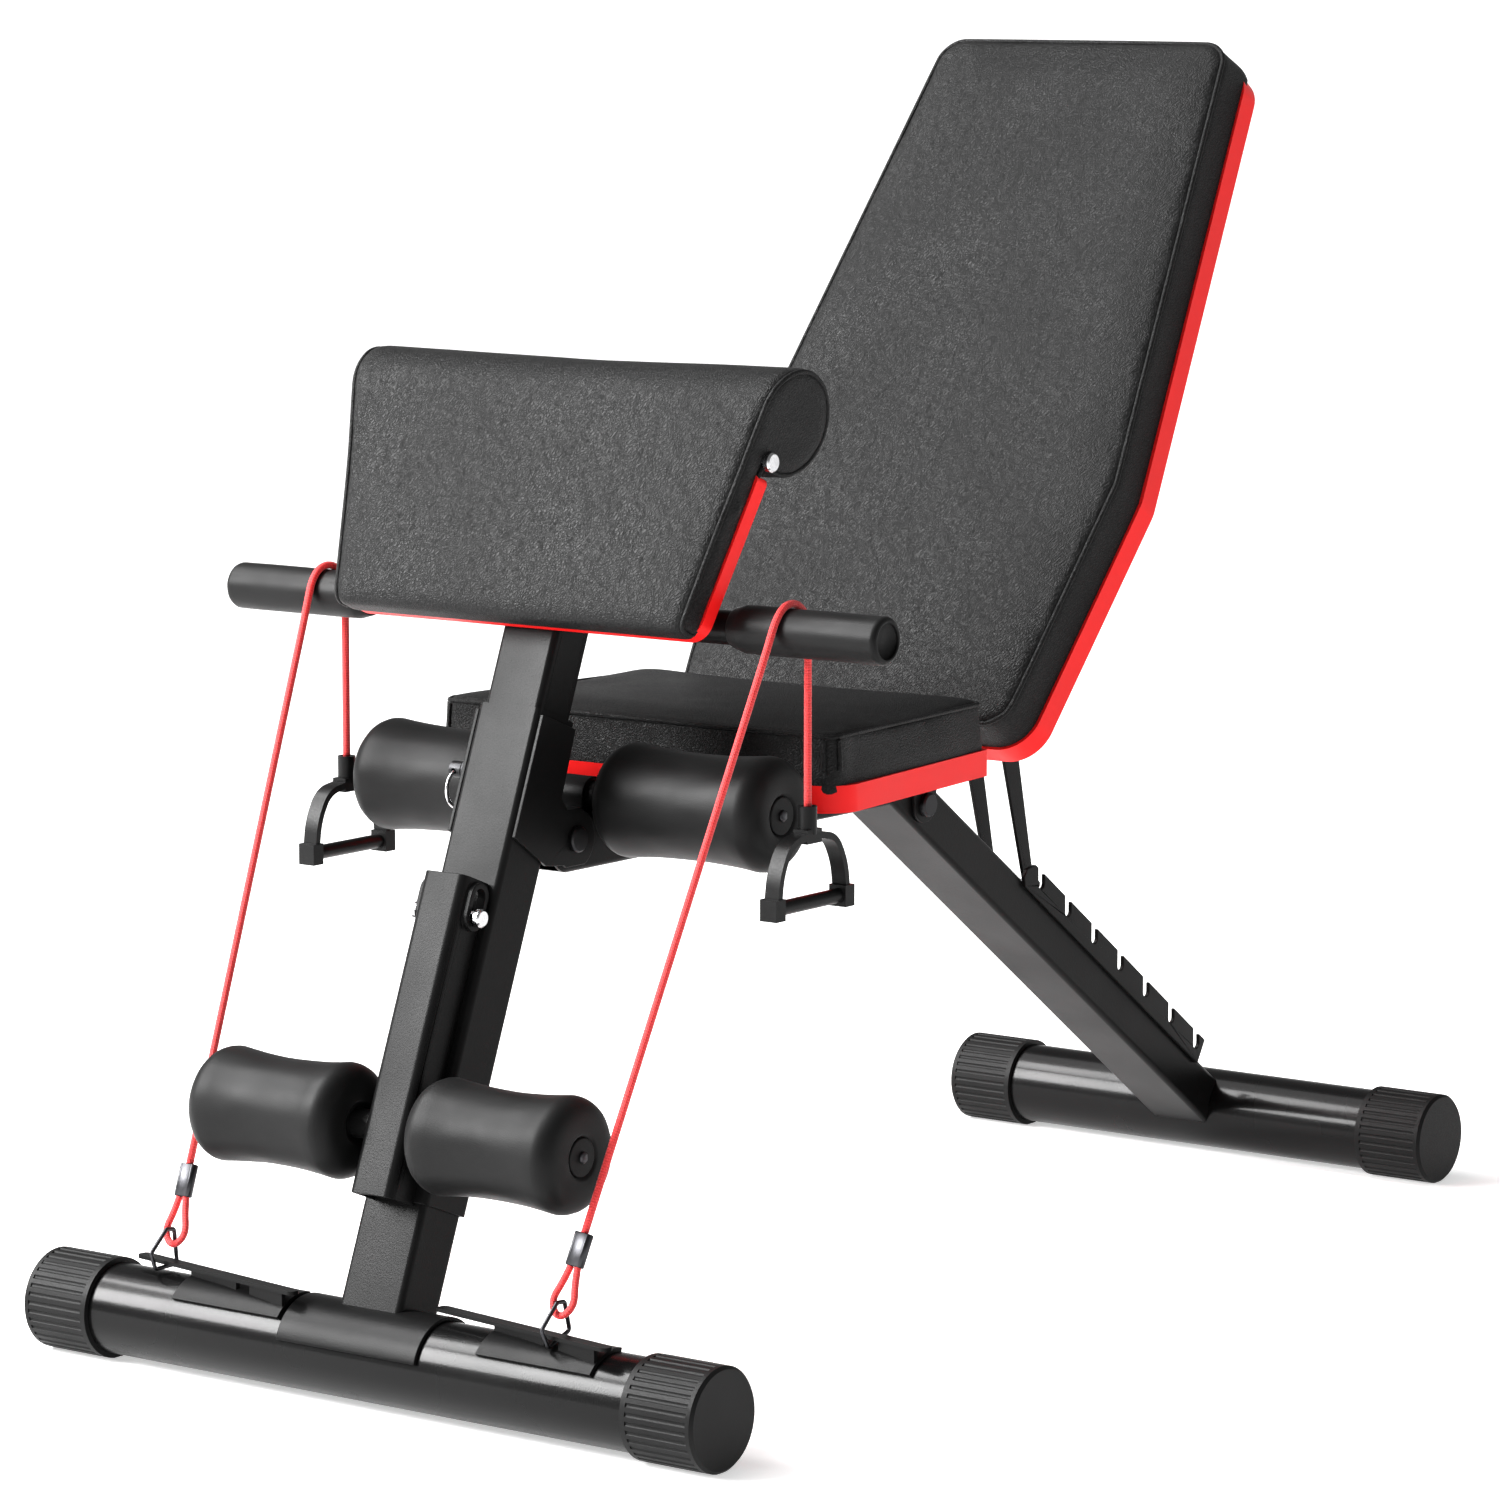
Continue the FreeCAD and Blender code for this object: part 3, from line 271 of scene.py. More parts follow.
def leatherette():
    """Black vinyl with a pebbled leather grain: uneven cells with creases between them, painted darker in the
    creases and lighter on the cell tops as painted shade and painted highlight.
    """
    made, tree, shader = new_material("leatherette")
    place = place_in(tree)
    drift = noise_in(tree, place, 120.0, 2.0)
    bent = add_node(tree, "ShaderNodeMixRGB", {"Fac": 0.012, "Color1": place, "Color2": drift},
                    blend_type="ADD").outputs[0]
    cells = add_node(tree, "ShaderNodeTexVoronoi", {"Vector": bent, "Scale": 520.0, "Randomness": 0.9},
                     feature="DISTANCE_TO_EDGE").outputs["Distance"]
    pebble = ramp(tree, cells, 0.0, 1.0, 0.0, 0.28)
    fine = noise_in(tree, place, 2400.0, 2.0)
    broad = noise_in(tree, place, 14.0, 4.0)
    # Painted shade and painted highlight: the colour is darkest in the creases between the cells and lightest
    # on their raised tops.
    creases = colour_ramp(tree, pebble, [(0.0, grey(0.005)), (0.5, grey(0.013)), (1.0, grey(0.018))])
    tree.links.new(creases, shader.inputs["Base Color"])
    tree.links.new(ramp(tree, broad, 0.40, 0.52, 0.3, 0.7), shader.inputs["Roughness"])
    pores = bump(tree, fine, 0.1, 0.0002)
    tree.links.new(bump(tree, pebble, 0.4, 0.0007, pores), shader.inputs["Normal"])
    shader.inputs["Specular IOR Level"].default_value = 0.2
    shader.inputs["Sheen Weight"].default_value = 0.02
    shader.inputs["Sheen Roughness"].default_value = 0.45
    return made


def red_trim():
    """Red vinyl pulled tight over the edge of a plywood board."""
    made, tree, shader = new_material("red_trim")
    place = place_in(tree)
    broad = noise_in(tree, place, 18.0, 3.0)
    fine = noise_in(tree, place, 1500.0, 2.0)
    tree.links.new(colour_ramp(tree, broad, [(0.25, (0.80, 0.014, 0.014)), (0.8, (0.88, 0.022, 0.022))]),
                   shader.inputs["Base Color"])
    tree.links.new(ramp(tree, broad, 0.34, 0.46, 0.3, 0.7), shader.inputs["Roughness"])
    tree.links.new(bump(tree, fine, 0.14, 0.0003), shader.inputs["Normal"])
    shader.inputs["Specular IOR Level"].default_value = 0.2
    return made


def foam_skin():
    """Closed-cell foam: a soft matt skin with tiny cells."""
    made, tree, shader = new_material("foam_skin")
    place = place_in(tree)
    cells = add_node(tree, "ShaderNodeTexVoronoi", {"Vector": place, "Scale": 1500.0}).outputs["Distance"]
    broad = noise_in(tree, place, 26.0, 4.0)
    tree.links.new(colour_ramp(tree, broad, [(0.3, grey(0.006)), (0.8, grey(0.011))]),
                   shader.inputs["Base Color"])
    tree.links.new(ramp(tree, broad, 0.42, 0.54, 0.3, 0.7), shader.inputs["Roughness"])
    tree.links.new(bump(tree, cells, 0.16, 0.0003), shader.inputs["Normal"])
    shader.inputs["Specular IOR Level"].default_value = 0.2
    shader.inputs["Sheen Weight"].default_value = 0.02
    shader.inputs["Sheen Roughness"].default_value = 0.5
    return made


def plated_steel(name, colour, rough):
    """Zinc-plated steel with faint drawn lines and dull patches."""
    made, tree, shader = new_material(name)
    place = place_in(tree)
    patches = noise_in(tree, place, 160.0, 4.0)
    lines = noise_in(tree, place, 1800.0, 2.0)
    tree.links.new(colour_ramp(tree, patches, [(0.3, tuple(c * 0.82 for c in colour)), (0.7, colour)]),
                   shader.inputs["Base Color"])
    tree.links.new(ramp(tree, patches, rough - 0.05, rough + 0.1, 0.3, 0.7), shader.inputs["Roughness"])
    tree.links.new(bump(tree, lines, 0.08, 0.0002), shader.inputs["Normal"])
    shader.inputs["Metallic"].default_value = 1.0
    return made


def braided_cord():
    """A braided polyester cover: two sets of strands that cross, drawn along the tube's own UVs, with painted
    shade in the hollows between the strands.
    """
    made, tree, shader = new_material("braided_cord")
    uv = add_node(tree, "ShaderNodeTexCoord").outputs["UV"]
    split = add_node(tree, "ShaderNodeSeparateXYZ", {"Vector": uv})
    around, along = split.outputs["X"], split.outputs["Y"]
    strands, pitch = 8.0, 0.0035
    turns = maths(tree, "MULTIPLY", around, strands)
    rise = maths(tree, "DIVIDE", along, pitch)
    waves = []
    for operation in ("ADD", "SUBTRACT"):
        angle = maths(tree, "MULTIPLY", maths(tree, operation, turns, rise), 2 * math.pi)
        waves.append(maths(tree, "SINE", angle))
    weave = maths(tree, "MULTIPLY", *waves)
    # Painted shade: the colour is darker where the weave is low, in the hollows between the strands.
    tree.links.new(colour_ramp(tree, ramp(tree, weave, 0.0, 1.0, -1.0, 1.0),
                               [(0.0, (0.52, 0.020, 0.022)), (0.6, (0.76, 0.050, 0.052))]),
                   shader.inputs["Base Color"])
    shader.inputs["Roughness"].default_value = 0.55
    shader.inputs["Sheen Weight"].default_value = 0.2
    tree.links.new(bump(tree, weave, 0.5, 0.0004), shader.inputs["Normal"])
    return made


MATERIALS = {
    "frame_black": powder_coat("satin_black_steel", 0.007, 0.011, 0.36, 0.0),
    "crossbar_black": powder_coat("gloss_black_steel", 0.005, 0.008, 0.26, 0.16),
    "cap_plastic": moulded_plastic("ribbed_plastic", 0.007, 0.46, 1400.0),
    "pad_vinyl": leatherette(),
    "board_red": red_trim(),
    "foam_black": foam_skin(),
    "bright_steel": plated_steel("bright_steel", (0.72, 0.72, 0.73), 0.22),
    "grey_steel": plated_steel("grey_steel", (0.075, 0.075, 0.08), 0.36),
    "cord_red": braided_cord(),
    "handle_plastic": moulded_plastic("handle_plastic", 0.007, 0.34, 1100.0),
}


DULL_STEEL = plated_steel("dull_steel", (0.05, 0.05, 0.052), 0.42)
DULL_NODES = ("front_pivot_bolt", "back_pivot_bolt", "strut_bolt", "lock_housing", "lock_pin")


# ---------------------------------------------------------------- CAD nodes: bevelled edges and materials
NODE_SLOT = {part["node"]: part["material_slot"] for part in frame["record"]["subparts"]}
EDGE_WIDTH = {"board_red": 0.0022, "cap_plastic": 0.0005, "frame_black": 0.0006, "handle_plastic": 0.0009}


def finish_nodes():
    """Every CAD node gets its slot's material, or dull steel for a few bolts and the lock, and small rounded
    edges that catch the light.
    """
    for name, obj in frame["nodes"].items():
        slot = NODE_SLOT[name]
        obj.data.materials.clear()
        obj.data.materials.append(DULL_STEEL if name in DULL_NODES else MATERIALS[slot])
        custom = obj.data.attributes.get("custom_normal")
        if custom is not None:
            obj.data.attributes.remove(custom)
        obj.data.polygons.foreach_set("use_smooth", [True] * len(obj.data.polygons))
        weld = obj.modifiers.new("weld", "WELD")
        weld.merge_threshold = 0.00001
        bevel = obj.modifiers.new("bevel", "BEVEL")
        bevel.width = EDGE_WIDTH.get(slot, 0.0004)
        bevel.segments = 3 if slot == "board_red" else 2
        bevel.limit_method = "ANGLE"
        bevel.angle_limit = math.radians(35)
        normals = obj.modifiers.new("normals", "WEIGHTED_NORMAL")
        normals.weight = 90


# ---------------------------------------------------------------- mesh helpers
def new_piece(name, mesh, slot, body=None):
    """An object with its slot's material, riding on a body if one is given."""
    obj = bpy.data.objects.new(name, mesh)
    scene.collection.objects.link(obj)
    if not mesh.materials:
        mesh.materials.append(MATERIALS[slot])
    if body:
        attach(obj, body)
    return obj


def from_bmesh(name, bm):
    """A smooth mesh with its faces turned outwards."""
    mesh = bpy.data.meshes.new(name)
    bmesh.ops.recalc_face_normals(bm, faces=bm.faces)
    bm.to_mesh(mesh)
    bm.free()
    mesh.polygons.foreach_set("use_smooth", [True] * len(mesh.polygons))
    return mesh


def skin(bm, rings):
    """Joins closed rings of the same number of points, from end to end, and closes both ends."""
    steps = len(rings[0])
    for low, high in zip(rings, rings[1:]):
        for k in range(steps):
            m = (k + 1) % steps
            bm.faces.new((low[k], low[m], high[m], high[k]))
    for ring in (rings[0], rings[-1]):
        bm.faces.new(ring)


def tube_mesh(name, path, radius, sides=WIRE_SIDES, closed=False):
    """A round tube along close points, with UVs: round the tube, and metres along it."""
    count = len(path)
    tangents = []
    for i in range(count):
        if closed:
            tangents.append((path[(i + 1) % count] - path[i - 1]).normalized())
        else:
            tangents.append((path[min(i + 1, count - 1)] - path[max(i - 1, 0)]).normalized())
    side = tangents[0].orthogonal().normalized()
    bm = bmesh.new()
    uv_layer = bm.loops.layers.uv.new("along")
    rings, lengths, run = [], [], 0.0
    for i, (place, tangent) in enumerate(zip(path, tangents)):
        side = (side - tangent * side.dot(tangent)).normalized()
        up = tangent.cross(side)
        rings.append([bm.verts.new(place + (side * math.cos(a) + up * math.sin(a)) * radius)
                      for a in (2 * math.pi * k / sides for k in range(sides))])
        run += (place - path[i - 1]).length if i else 0.0
        lengths.append(run)
    for i in range(count if closed else count - 1):
        j = (i + 1) % count
        far = lengths[j] if j else run + (path[0] - path[-1]).length
        for k in range(sides):
            m = (k + 1) % sides
            face = bm.faces.new((rings[i][k], rings[i][m], rings[j][m], rings[j][k]))
            for loop, uv in zip(face.loops, ((k, lengths[i]), (k + 1, lengths[i]), (k + 1, far), (k, far))):
                loop[uv_layer].uv = (uv[0] / sides, uv[1])
    if not closed:
        for ring in (rings[0], rings[-1]):
            bm.faces.new(ring)
    return from_bmesh(name, bm)


def spline_points(name, places, resolution=24, closed=False):
    """The points of a smooth NURBS line whose control points are places."""
    curve = bpy.data.curves.new(name, "CURVE")
    curve.dimensions = "3D"
    spline = curve.splines.new("NURBS")
    spline.points.add(len(places) - 1)
    for control, place in zip(spline.points, places):
        control.co = (*place, 1)
    spline.order_u = 3
    spline.use_endpoint_u = not closed
    spline.use_cyclic_u = closed
    spline.resolution_u = resolution
    obj = bpy.data.objects.new(name, curve)
    scene.collection.objects.link(obj)
    mesh = bpy.data.meshes.new_from_object(obj.evaluated_get(bpy.context.evaluated_depsgraph_get()))
    points = [v.co.copy() for v in mesh.vertices]
    bpy.data.objects.remove(obj)
    bpy.data.meshes.remove(mesh)
    return points


def lathe_mesh(name, profile, centre, steps=72, wobble=0.0):
    """A solid turned about an axis along X: profile is a list of (x, radius), from end to end."""
    bm = bmesh.new()
    rings = []
    for x, radius in profile:
        ring = []
        for k in range(steps):
            a = 2 * math.pi * k / steps
            r = radius + wobble * noise.noise(Vector((x * 45, 3 * math.cos(a), 3 * math.sin(a))))
            ring.append(bm.verts.new((x, centre[1] + r * math.sin(a), centre[2] + r * math.cos(a))))
        rings.append(ring)
    skin(bm, rings)
    return from_bmesh(name, bm)


# ---------------------------------------------------------------- elastic cords
CORD_ROUTES = {
    "right": [
        (0.1594, -0.4811, 0.1317),
        (0.1906, -0.3351, 0.4786),
        (0.1924, -0.3236, 0.5061),
        (0.1924, -0.3060, 0.5107),
        (0.1924, -0.2919, 0.4997),
        (0.1924, -0.2919, 0.3760),
    ],
    "left": [
        (-0.1776, -0.4685, 0.1302),
        (-0.1886, -0.3347, 0.4779),
        (-0.1900, -0.3241, 0.5057),
        (-0.1900, -0.3060, 0.5107),
        (-0.1900, -0.2919, 0.4997),
        (-0.1900, -0.2919, 0.3760),
    ],
}
STRAIGHT_END = 0.032                  # a tight cord runs straight to here before the grip
EYE_DROP = 0.0516                     # top of the ferrule down to the bottom of the eye
FERRULE_LENGTH = 0.0216


def path_length(points):
    """The length along a row of points."""
    return sum((b - a).length for a, b in zip(points, points[1:]))


def make_cord(side):
    """One elastic cord, from its ferrule over the handlebar grip and down to the hand grip."""
    route = [Vector(p) for p in CORD_ROUTES[side]]
    rise = (route[1] - route[0]).normalized()
    beside = (Vector((1, 0, 0)) - rise * rise.x).normalized()
    near_grip = route[1] - rise * STRAIGHT_END
    below_grip = route[4] - Vector((0, 0, STRAIGHT_END))
    places = [route[0], near_grip, *route[1:5], below_grip, route[5]]
    path = spline_points("cord_line", places)
    cord = new_piece("cord_" + side, tube_mesh("cord_" + side, path, CORD_DIAMETER / 2), "cord_red")
    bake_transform(cord)
    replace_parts(cord, "cord_taut_" + side, "cord_drop_" + side)
    eye = make_eye(side, route[0], rise, beside)
    crimp = make_ferrule(side, route[0], rise, beside)
    path_length(path)


def make_eye(side, top, rise, beside):
    """The loop below the ferrule, round the clip."""
    bottom = top - rise * EYE_DROP
    outline = [(-2.8, 30), (-4.5, 20), (-9, 7), (-3.5, -1.5), (3.5, -1.5), (9, 7), (4.5, 20), (2.8, 30)]
    places = [bottom + beside * (across / 1000) + rise * (up / 1000) for across, up in outline]
    name = "cord_eye_" + side
    mesh = tube_mesh(name, spline_points(name, places), CORD_DIAMETER / 2 - 0.0002)
    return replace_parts(new_piece(name, mesh, "cord_red", "front_leg"), "cord_eyes")


def make_ferrule(side, top, rise, beside):
    """A sleeve pressed round both runs of the cord, so it has two lobes and a waist between them."""
    front = rise.cross(beside)
    half, radius, bevel = 0.0029, 0.0037, 0.0005
    stations = [(0.0, -bevel), (bevel, 0.0), (FERRULE_LENGTH - bevel, 0.0), (FERRULE_LENGTH, -bevel)]
    bm = bmesh.new()
    rings, steps = [], 48
    for down, grow in stations:
        ring = []
        for k in range(steps):
            a = 2 * math.pi * (k + 0.5) / steps
            across = math.cos(a) * (radius + grow) + math.copysign(half, math.cos(a))
            waist = 1 - 0.22 * math.exp(-(math.cos(a) / 0.35) ** 2)
            deep = math.sin(a) * (radius + grow) * waist
            ring.append(bm.verts.new(top - rise * down + beside * across + front * deep))
        rings.append(ring)
    skin(bm, rings)
    name = "ferrule_" + side
    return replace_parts(new_piece(name, from_bmesh(name, bm), "grey_steel", "front_leg"), "cord_ferrules")


# ---------------------------------------------------------------- foam rollers and grips
ROLLER_SLACK = 0.0018                 # the foam is a little thinner than its room
ROLLER_WAIST = 0.0032                 # how much thinner the middle is
ROLLER_SHOULDER = 0.0135
ROLLER_BORE = 0.0097
ROLLER_DISH = 0.0028


def shoulder(x0, r0, x1, r1, steps=7):
    """A quarter round from (x0, r0) on the end face to (x1, r1) on the barrel."""
    turns = [math.pi / 2 * k / steps for k in range(steps + 1)]
    return [(x1 + (x0 - x1) * math.cos(a), r0 + (r1 - r0) * math.sin(a)) for a in turns]


def make_roller(name, body):
    """A foam roller: dished ends round the axle, round shoulders and a slightly waisted barrel."""
    low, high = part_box(name)
    centre = (low + high) / 2
    radius = (high.z - low.z) / 2 - ROLLER_SLACK
    waist = radius - ROLLER_WAIST
    length = high.x - low.x
    end = [(ROLLER_DISH, ROLLER_BORE), (ROLLER_DISH, 0.0125), (0.0006, 0.0140), (0.0, 0.0155)]
    end += shoulder(0.0, radius - ROLLER_SHOULDER, ROLLER_SHOULDER, radius)
    barrel = []
    steps = 12
    for k in range(1, steps):
        t = k / steps
        x = ROLLER_SHOULDER + (length - 2 * ROLLER_SHOULDER) * t
        barrel.append((x, waist + (radius - waist) * (2 * t - 1) ** 2))
    profile = end + barrel + [(length - x, r) for x, r in reversed(end)]
    mesh = lathe_mesh(name + "_foam", [(low.x + x, r) for x, r in profile], centre, wobble=0.0003)
    piece = new_piece(name + "_foam", mesh, "foam_black", body)
    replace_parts(piece, name)


def make_end_bolts(node, body):
    """A small hexagonal bolt in the middle of each plug at an axle's ends."""
    low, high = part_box(node)
    centre = (low + high) / 2
    for side, end, sign in (("left", low.x, -1), ("right", high.x, 1)):
        profile = [(-0.001, 0.0040), (0.0012, 0.0040), (0.0018, 0.0034)]
        name = f"{node}_bolt_{side}"
        mesh = lathe_mesh(name, [(end + sign * x, r) for x, r in profile], centre, steps=6)
        new_piece(name, mesh, "grey_steel", body)


def make_grips():
    """Foam grips on the handlebar, with tapered inner ends and a rolled rim outside."""
    low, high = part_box("handlebar_grips")
    centre = (low + high) / 2
    radius, bore = (high.z - low.z) / 2, 0.0112
    inner, outer = 0.150, high.x
    profile = [(inner, bore), (inner, 0.0124), (inner + 0.001, 0.0130), (inner + 0.008, radius - 0.0006),
               (inner + 0.010, radius)]
    profile += [(inner + 0.010 + (outer - inner - 0.014) * k / 10, radius) for k in range(1, 11)]
    profile += [(x, r) for x, r in reversed(shoulder(outer, radius - 0.0032, outer - 0.0038, radius))]
    profile += [(outer - 0.0004, radius - 0.0042), (outer - 0.0014, bore + 0.0006), (outer - 0.0030, bore)]
    for side, sign in (("left", -1), ("right", 1)):
        name = "grip_foam_" + side
        mesh = lathe_mesh(name, [(sign * x, r) for x, r in profile], centre, steps=48, wobble=0.0002)
        piece = new_piece(name, mesh, "foam_black", "arm_post")
        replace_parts(piece, "handlebar_grips")


# ---------------------------------------------------------------- pads
# A pad's own axes are X, across (into the pad from its front face) and along (up or back).
def line_matrix(origin, angle):
    """Turns a pad's own axes into the bench's: along runs at an angle above horizontal."""
    run = Vector((0, math.cos(angle), math.sin(angle)))
    across = Vector((0, math.sin(angle), -math.cos(angle)))
    turn = Matrix((Vector((1, 0, 0)), across, run)).transposed().to_4x4()
    return Matrix.Translation(origin) @ turn


def rounded_outline(corners, radii, inset, steps=7):
    """Points of a convex, counter-clockwise outline, moved in by inset, with round corners."""
    count, points = len(corners), []
    edges = [(corners[(i + 1) % count] - corners[i]).normalized() for i in range(count)]
    for i in range(count):
        before, after = edges[i - 1], edges[i]
        half = before.angle(after) / 2
        inward = (after - before).normalized()
        corner = corners[i] + inward * (inset / math.cos(half))
        radius = max(radii[i] - inset, 0.0008)
        centre = corner + inward * (radius / math.cos(half))
        for k in range(steps + 1):
            swing = -half + 2 * half * k / steps
            points.append(centre - rotated(inward, swing) * radius)
    return points


def rotated(vector, angle):
    """A flat vector turned counter-clockwise."""
    c, s = math.cos(angle), math.sin(angle)
    return Vector((vector.x * c - vector.y * s, vector.x * s + vector.y * c))


def edge_stations(thickness, front, back):
    """How far in, and how deep, each ring of a pad's edge lies: from its back to its front face."""
    stations = [(back, thickness), (back * 0.3, thickness - back * 0.3), (0.0, thickness - back)]
    steps = 6
    for k in range(steps + 1):
        a = math.pi / 2 * k / steps
        stations.append((front * (1 - math.cos(a)), front * (1 - math.sin(a))))
    return stations


def board_pad_shape(corners, radii, thickness, edge):
    """A flat pad with round front edges, in its own axes."""
    bm = bmesh.new()
    rings = []
    for inset, depth in edge_stations(thickness, edge, 0.0015):
        flat = rounded_outline(corners, radii, inset)
        rings.append([bm.verts.new((p.x, depth, p.y)) for p in flat])
    skin(bm, rings)
    return bm


def arm_profile(inset):
    """The arm pad from its side, as (across, along) points: a board with a roll at its top."""
    front, back, bottom = ARM_FRONT + inset, ARM_BACK - inset, ARM_BOTTOM + inset
    radius = ROLL_RADIUS - inset
    centre = Vector((ARM_FRONT + ROLL_RADIUS, ARM_TOP - ROLL_RADIUS))
    corner = PAD_ROUND
    points = []
    for k in range(7):
        a = math.pi / 2 * k / 6
        points.append(Vector((front + corner * (1 - math.sin(a)), bottom + corner * (1 - math.cos(a)))))
    points += [Vector((front, bottom + corner + (centre.y - bottom - corner) * k / 6)) for k in range(1, 6)]
    last = 2 * math.pi - math.acos((back - centre.x) / radius)
    for k in range(33):
        a = math.pi - (3 * math.pi - last) * k / 32
        points.append(centre + Vector((math.cos(a), math.sin(a))) * radius)
    low = points[-1].y
    points += [Vector((back, low + (bottom - low) * k / 5)) for k in range(1, 6)]
    return points


def arm_pad_shape(half_bottom, half_top):
    """The arm pad's rolled shape, in its own axes. It widens upwards and both ends are rounded."""
    bm = bmesh.new()
    rings = []
    ends = [(inset, depth) for inset, depth in edge_stations(1.0, PAD_ROUND, 0.0) if depth <= PAD_ROUND]
    for sign, stations in ((-1, reversed(ends)), (1, ends)):
        for inset, depth in stations:
            ring = []
            for p in arm_profile(inset):
                grow = (p.y - ARM_BOTTOM) / (ARM_TOP - ARM_BOTTOM)
                half = half_bottom + (half_top - half_bottom) * grow
                ring.append(bm.verts.new((sign * (half - depth), p.x, p.y)))
            rings.append(ring)
    skin(bm, rings)
    return bm


def remeshed(name, bm, local):
    """A fine, even mesh of a pad's shape, a little smaller all round."""
    bmesh.ops.recalc_face_normals(bm, faces=bm.faces)
    bmesh.ops.triangulate(bm, faces=bm.faces)
    target = BVHTree.FromBMesh(bm)
    mesh = bpy.data.meshes.new(name)
    bm.to_mesh(mesh)
    bm.free()
    obj = bpy.data.objects.new(name, mesh)
    scene.collection.objects.link(obj)
    remesh = obj.modifiers.new("remesh", "REMESH")
    remesh.mode = "VOXEL"
    remesh.voxel_size = PAD_VOXEL
    fine = bpy.data.meshes.new_from_object(obj.evaluated_get(bpy.context.evaluated_depsgraph_get()))
    bpy.data.objects.remove(obj)
    for v in fine.vertices:
        place, normal = target.find_nearest(v.co)[:2]
        v.co = local @ (place - normal * PAD_INSET)
    return fine


def inflate(obj, held, cap):
    """Fills the closed mesh with air as cloth. The swelling is evened out and kept below cap."""
    rest = [v.co.copy() for v in obj.data.vertices]
    group = obj.vertex_groups.new(name="held")
    group.add([i for i, place in enumerate(rest) if held(place)], 1.0, "REPLACE")
    cloth = obj.modifiers.new("cloth", "CLOTH")
    settings = cloth.settings
    settings.vertex_group_mass = "held"
    settings.quality = 6
    settings.mass = 0.3
    settings.tension_stiffness = STRETCH_STIFFNESS
    settings.compression_stiffness = STRETCH_STIFFNESS
    settings.shear_stiffness = 8
    settings.bending_stiffness = 1.5
    settings.use_pressure = True
    settings.uniform_pressure_force = AIR_PRESSURE
    settings.effector_weights.gravity = 0
    cloth.point_cache.frame_start, cloth.point_cache.frame_end = 1, LAST_FRAME
    for step in range(1, LAST_FRAME + 1):
        scene.frame_set(step)
    blown = obj.evaluated_get(bpy.context.evaluated_depsgraph_get()).to_mesh()
    shifts = [v.co - was for v, was in zip(blown.vertices, rest)]
    obj.modifiers.remove(cloth)
    obj.vertex_groups.clear()
    scene.frame_set(1)
    shifts = evened([s * min(1.0, cap / max(s.length, 1e-9)) for s in shifts], obj.data.edges, EVENING_ROUNDS)
    for v, was, shift in zip(obj.data.vertices, rest, shifts):
        v.co = was + shift


def evened(shifts, edges, rounds):
    """Averages each point's shift with its neighbours', a number of times, so creases fade."""
    ends = [tuple(edge.vertices) for edge in edges]
    for _ in range(rounds):
        sums = [shift.copy() for shift in shifts]
        counts = [1] * len(shifts)
        for a, b in ends:
            sums[a] += shifts[b]
            sums[b] += shifts[a]
            counts[a] += 1
            counts[b] += 1
        shifts = [total / count for total, count in zip(sums, counts)]
    return shifts


def make_pad(node, body, bm, local, board, cap):
    """A stuffed pad in leatherette. board(place) is true where the pad lies against its board."""
    name = node + "_cover"
    piece = new_piece(name, remeshed(name, bm, local), "pad_vinyl")
    into = local.inverted()
    inflate(piece, lambda place: board(into @ place), cap)
    for v in piece.data.vertices:
        place = into @ v.co
        if not board(place):
            v.co += v.normal * sum(noise.noise(place * scale) * depth for scale, depth in RIPPLES)
    piece.data.polygons.foreach_set("use_smooth", [True] * len(piece.data.polygons))
    divide = piece.modifiers.new("subdivision", "SUBSURF")
    divide.levels = divide.render_levels = 1
    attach(piece, body)
    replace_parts(piece, node)
    return piece


def make_piping(name, cover, body, places, closed=True):
    """A thin sewn ridge on the cover, along a line of places near it."""
    tree = BVHTree.FromObject(cover, bpy.context.evaluated_depsgraph_get())
    path = []
    for place in places:
        on, normal = tree.find_nearest(place)[:2]
        path.append(on + normal * PIPING_RADIUS * 0.2)
    path = spline_points(name + "_line", path, resolution=3, closed=closed)
    mesh = tube_mesh(name, path, PIPING_RADIUS, sides=8, closed=closed)
    new_piece(name, mesh, "pad_vinyl", body)


def back_pad():
    """Six-sided, widest at the waist, and taller than its board."""
    local = line_matrix(Vector((0, 0.0055, 0.392)), BACK_ANGLE)
    low, waist, top = 0.140 + WRAP, 0.1625 + WRAP, 0.1235 + WRAP
    foot, head = -WRAP, 0.550 + BACK_OVERHANG
    corners = [(-low, foot), (low, foot), (waist, 0.195), (top, head), (-top, head), (-waist, 0.195)]
    radii = [0.028, 0.028, 0.030, 0.026, 0.026, 0.030]
    flat_pad("back_pad", "backrest", corners, radii, local, PAD_ROUND, BOARD_PAD_THICKNESS + WRAP_DEPTH)


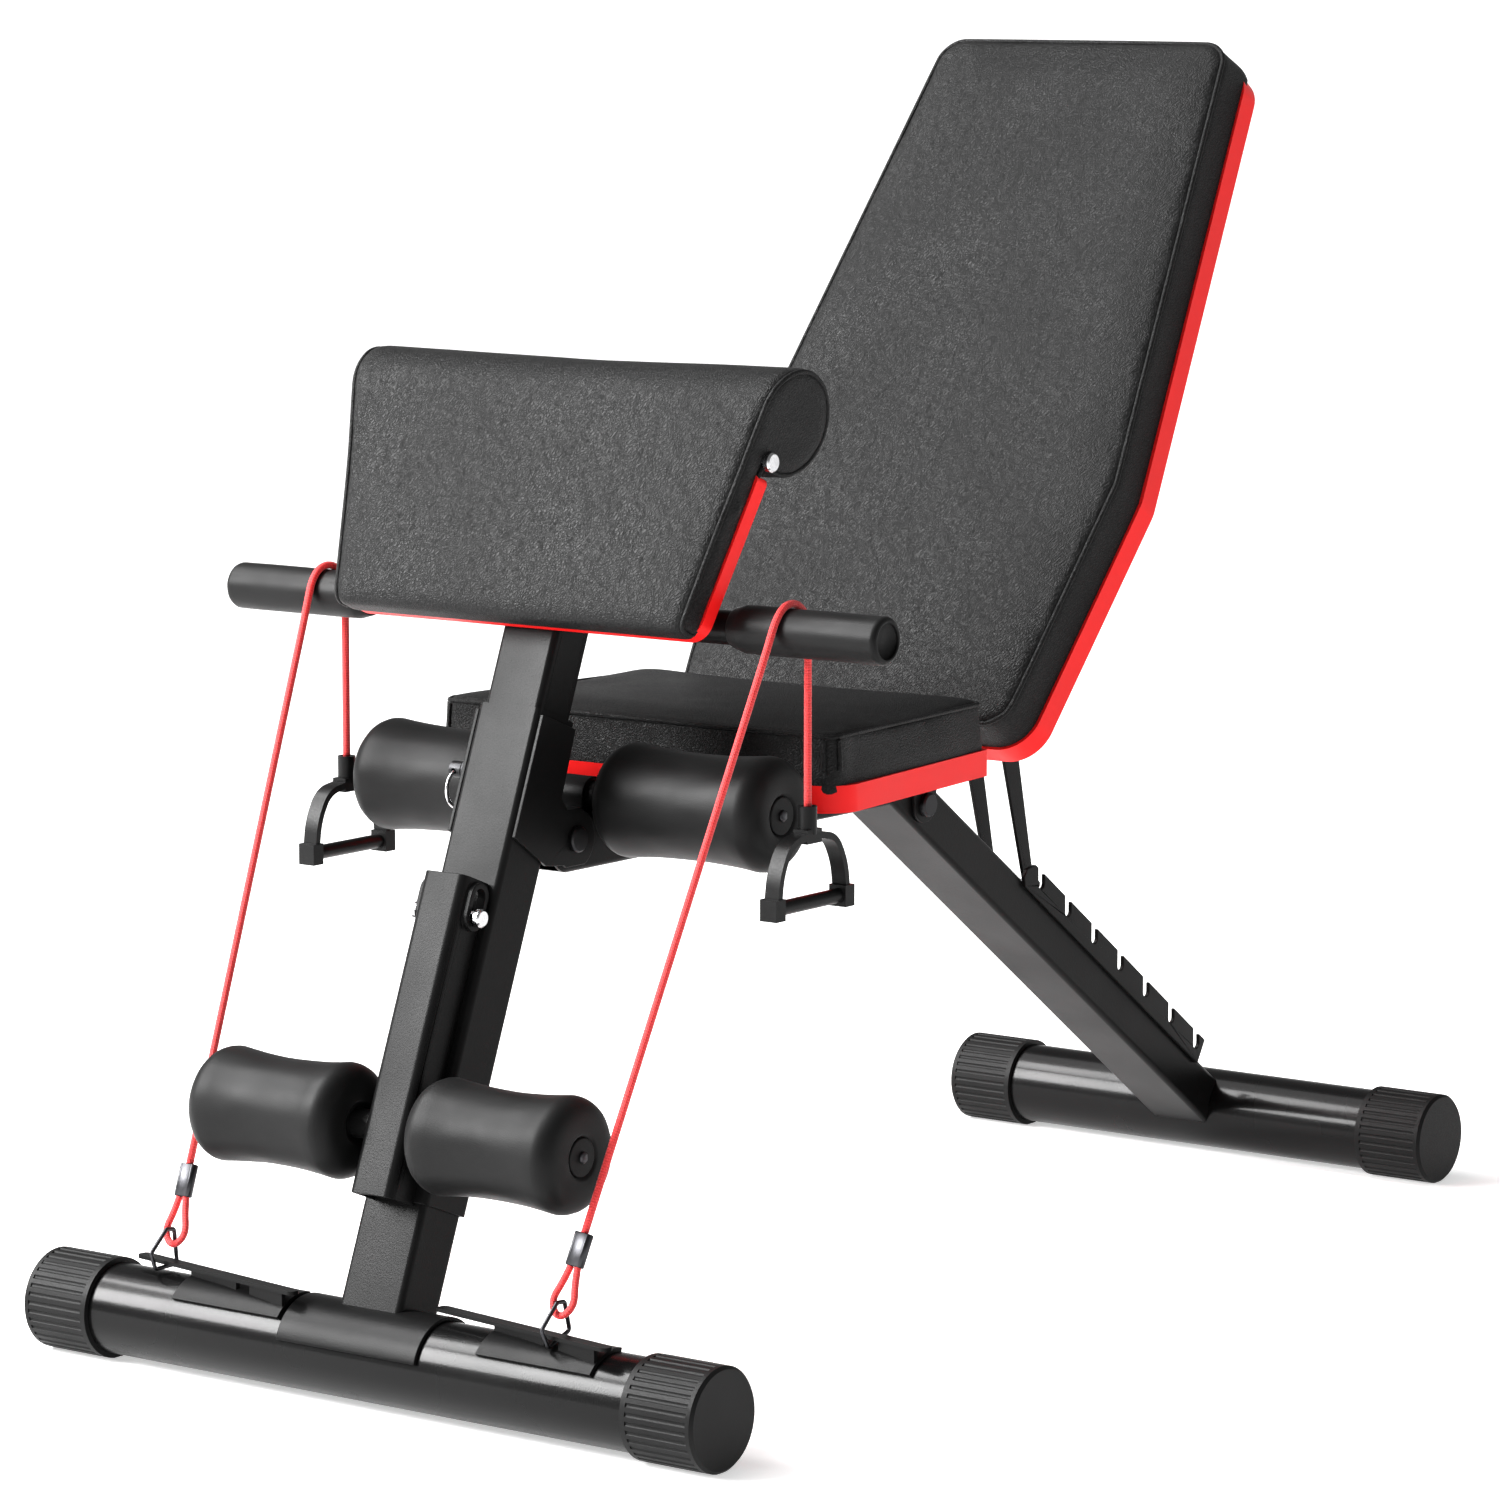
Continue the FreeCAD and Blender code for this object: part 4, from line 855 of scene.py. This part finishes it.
def seat_pad():
    """Tapers to the rear, with two sewn pleats at each front corner."""
    low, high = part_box("seat_pad")
    local = line_matrix(Vector((0, low.y - WRAP, high.z + SEAT_RISE)), 0.0)
    length, front, rear = high.y - low.y + WRAP, high.x + WRAP, 0.1435 + WRAP
    corners = [(-front, 0), (front, 0), (rear, length), (-rear, length)]
    cover = flat_pad("seat_pad", "main_frame", corners, [0.016, 0.016, 0.006, 0.006], local, SEAT_ROUND,
                     BOARD_PAD_THICKNESS + SEAT_RISE + WRAP_DEPTH)
    seams = (("front", front - PLEAT_OFF_CORNER, 0.0), ("side", front, PLEAT_OFF_CORNER))
    for side, sign in (("left", -1), ("right", 1)):
        for seam, across, back in seams:
            depths = [PLEAT_TOP + PLEAT_LENGTH * k / 8 for k in range(9)]
            places = [local @ Vector((sign * across, depth, back)) for depth in depths]
            make_piping(f"seat_pleat_{seam}_{side}", cover, "main_frame", places, closed=False)


def flat_pad(node, body, corners, radii, local, edge, thickness):
    """A pad on a board, with piping along its front edges."""
    corners = [Vector(c) for c in corners]
    shape = board_pad_shape(corners, radii, thickness, edge)
    cover = make_pad(node, body, shape, local, lambda p: p.y > thickness - HELD_DEPTH, PAD_SWELL)
    inset = edge * SEAM_SHARE
    line = rounded_outline(corners, radii, inset)
    make_piping(node + "_piping", cover, body, [local @ Vector((p.x, inset, p.y)) for p in line])
    return cover


def arm_pad():
    """Rolled over at the top, with piping at both ends."""
    local = line_matrix(Vector((0, -0.4905, 0.033)), math.pi / 2 - UPRIGHT_LEAN)
    half_bottom, half_top = 0.1425 + ARM_WRAP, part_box("arm_pad")[1].x + ARM_WRAP
    cover = make_pad("arm_pad", "arm_post", arm_pad_shape(half_bottom, half_top), local,
                     lambda p: p.y > ARM_BACK - HELD_DEPTH and p.z < ARM_BOARD_TOP, ARM_SWELL)
    inset = PAD_ROUND * SEAM_SHARE
    for side, sign in (("left", -1), ("right", 1)):
        places = []
        for p in arm_profile(inset):
            grow = (p.y - ARM_BOTTOM) / (ARM_TOP - ARM_BOTTOM)
            x = half_bottom + (half_top - half_bottom) * grow - inset
            places.append(local @ Vector((sign * x, p.x, p.y)))
        make_piping("arm_pad_piping_" + side, cover, "arm_post", places)


# ---------------------------------------------------------------- put it together
make_camera()
make_sky()
make_light()
make_floor()
finish_nodes()
for side in CORD_ROUTES:
    make_cord(side)
for place in ("knee", "ankle"):
    for side in ("left", "right"):
        make_roller(f"{place}_roller_{side}", f"{place}_roller_{side}")
make_end_bolts("knee_axle_plugs", "main_frame")
make_end_bolts("ankle_axle_plugs", "leg_hook")
make_grips()
back_pad()
seat_pad()
arm_pad()
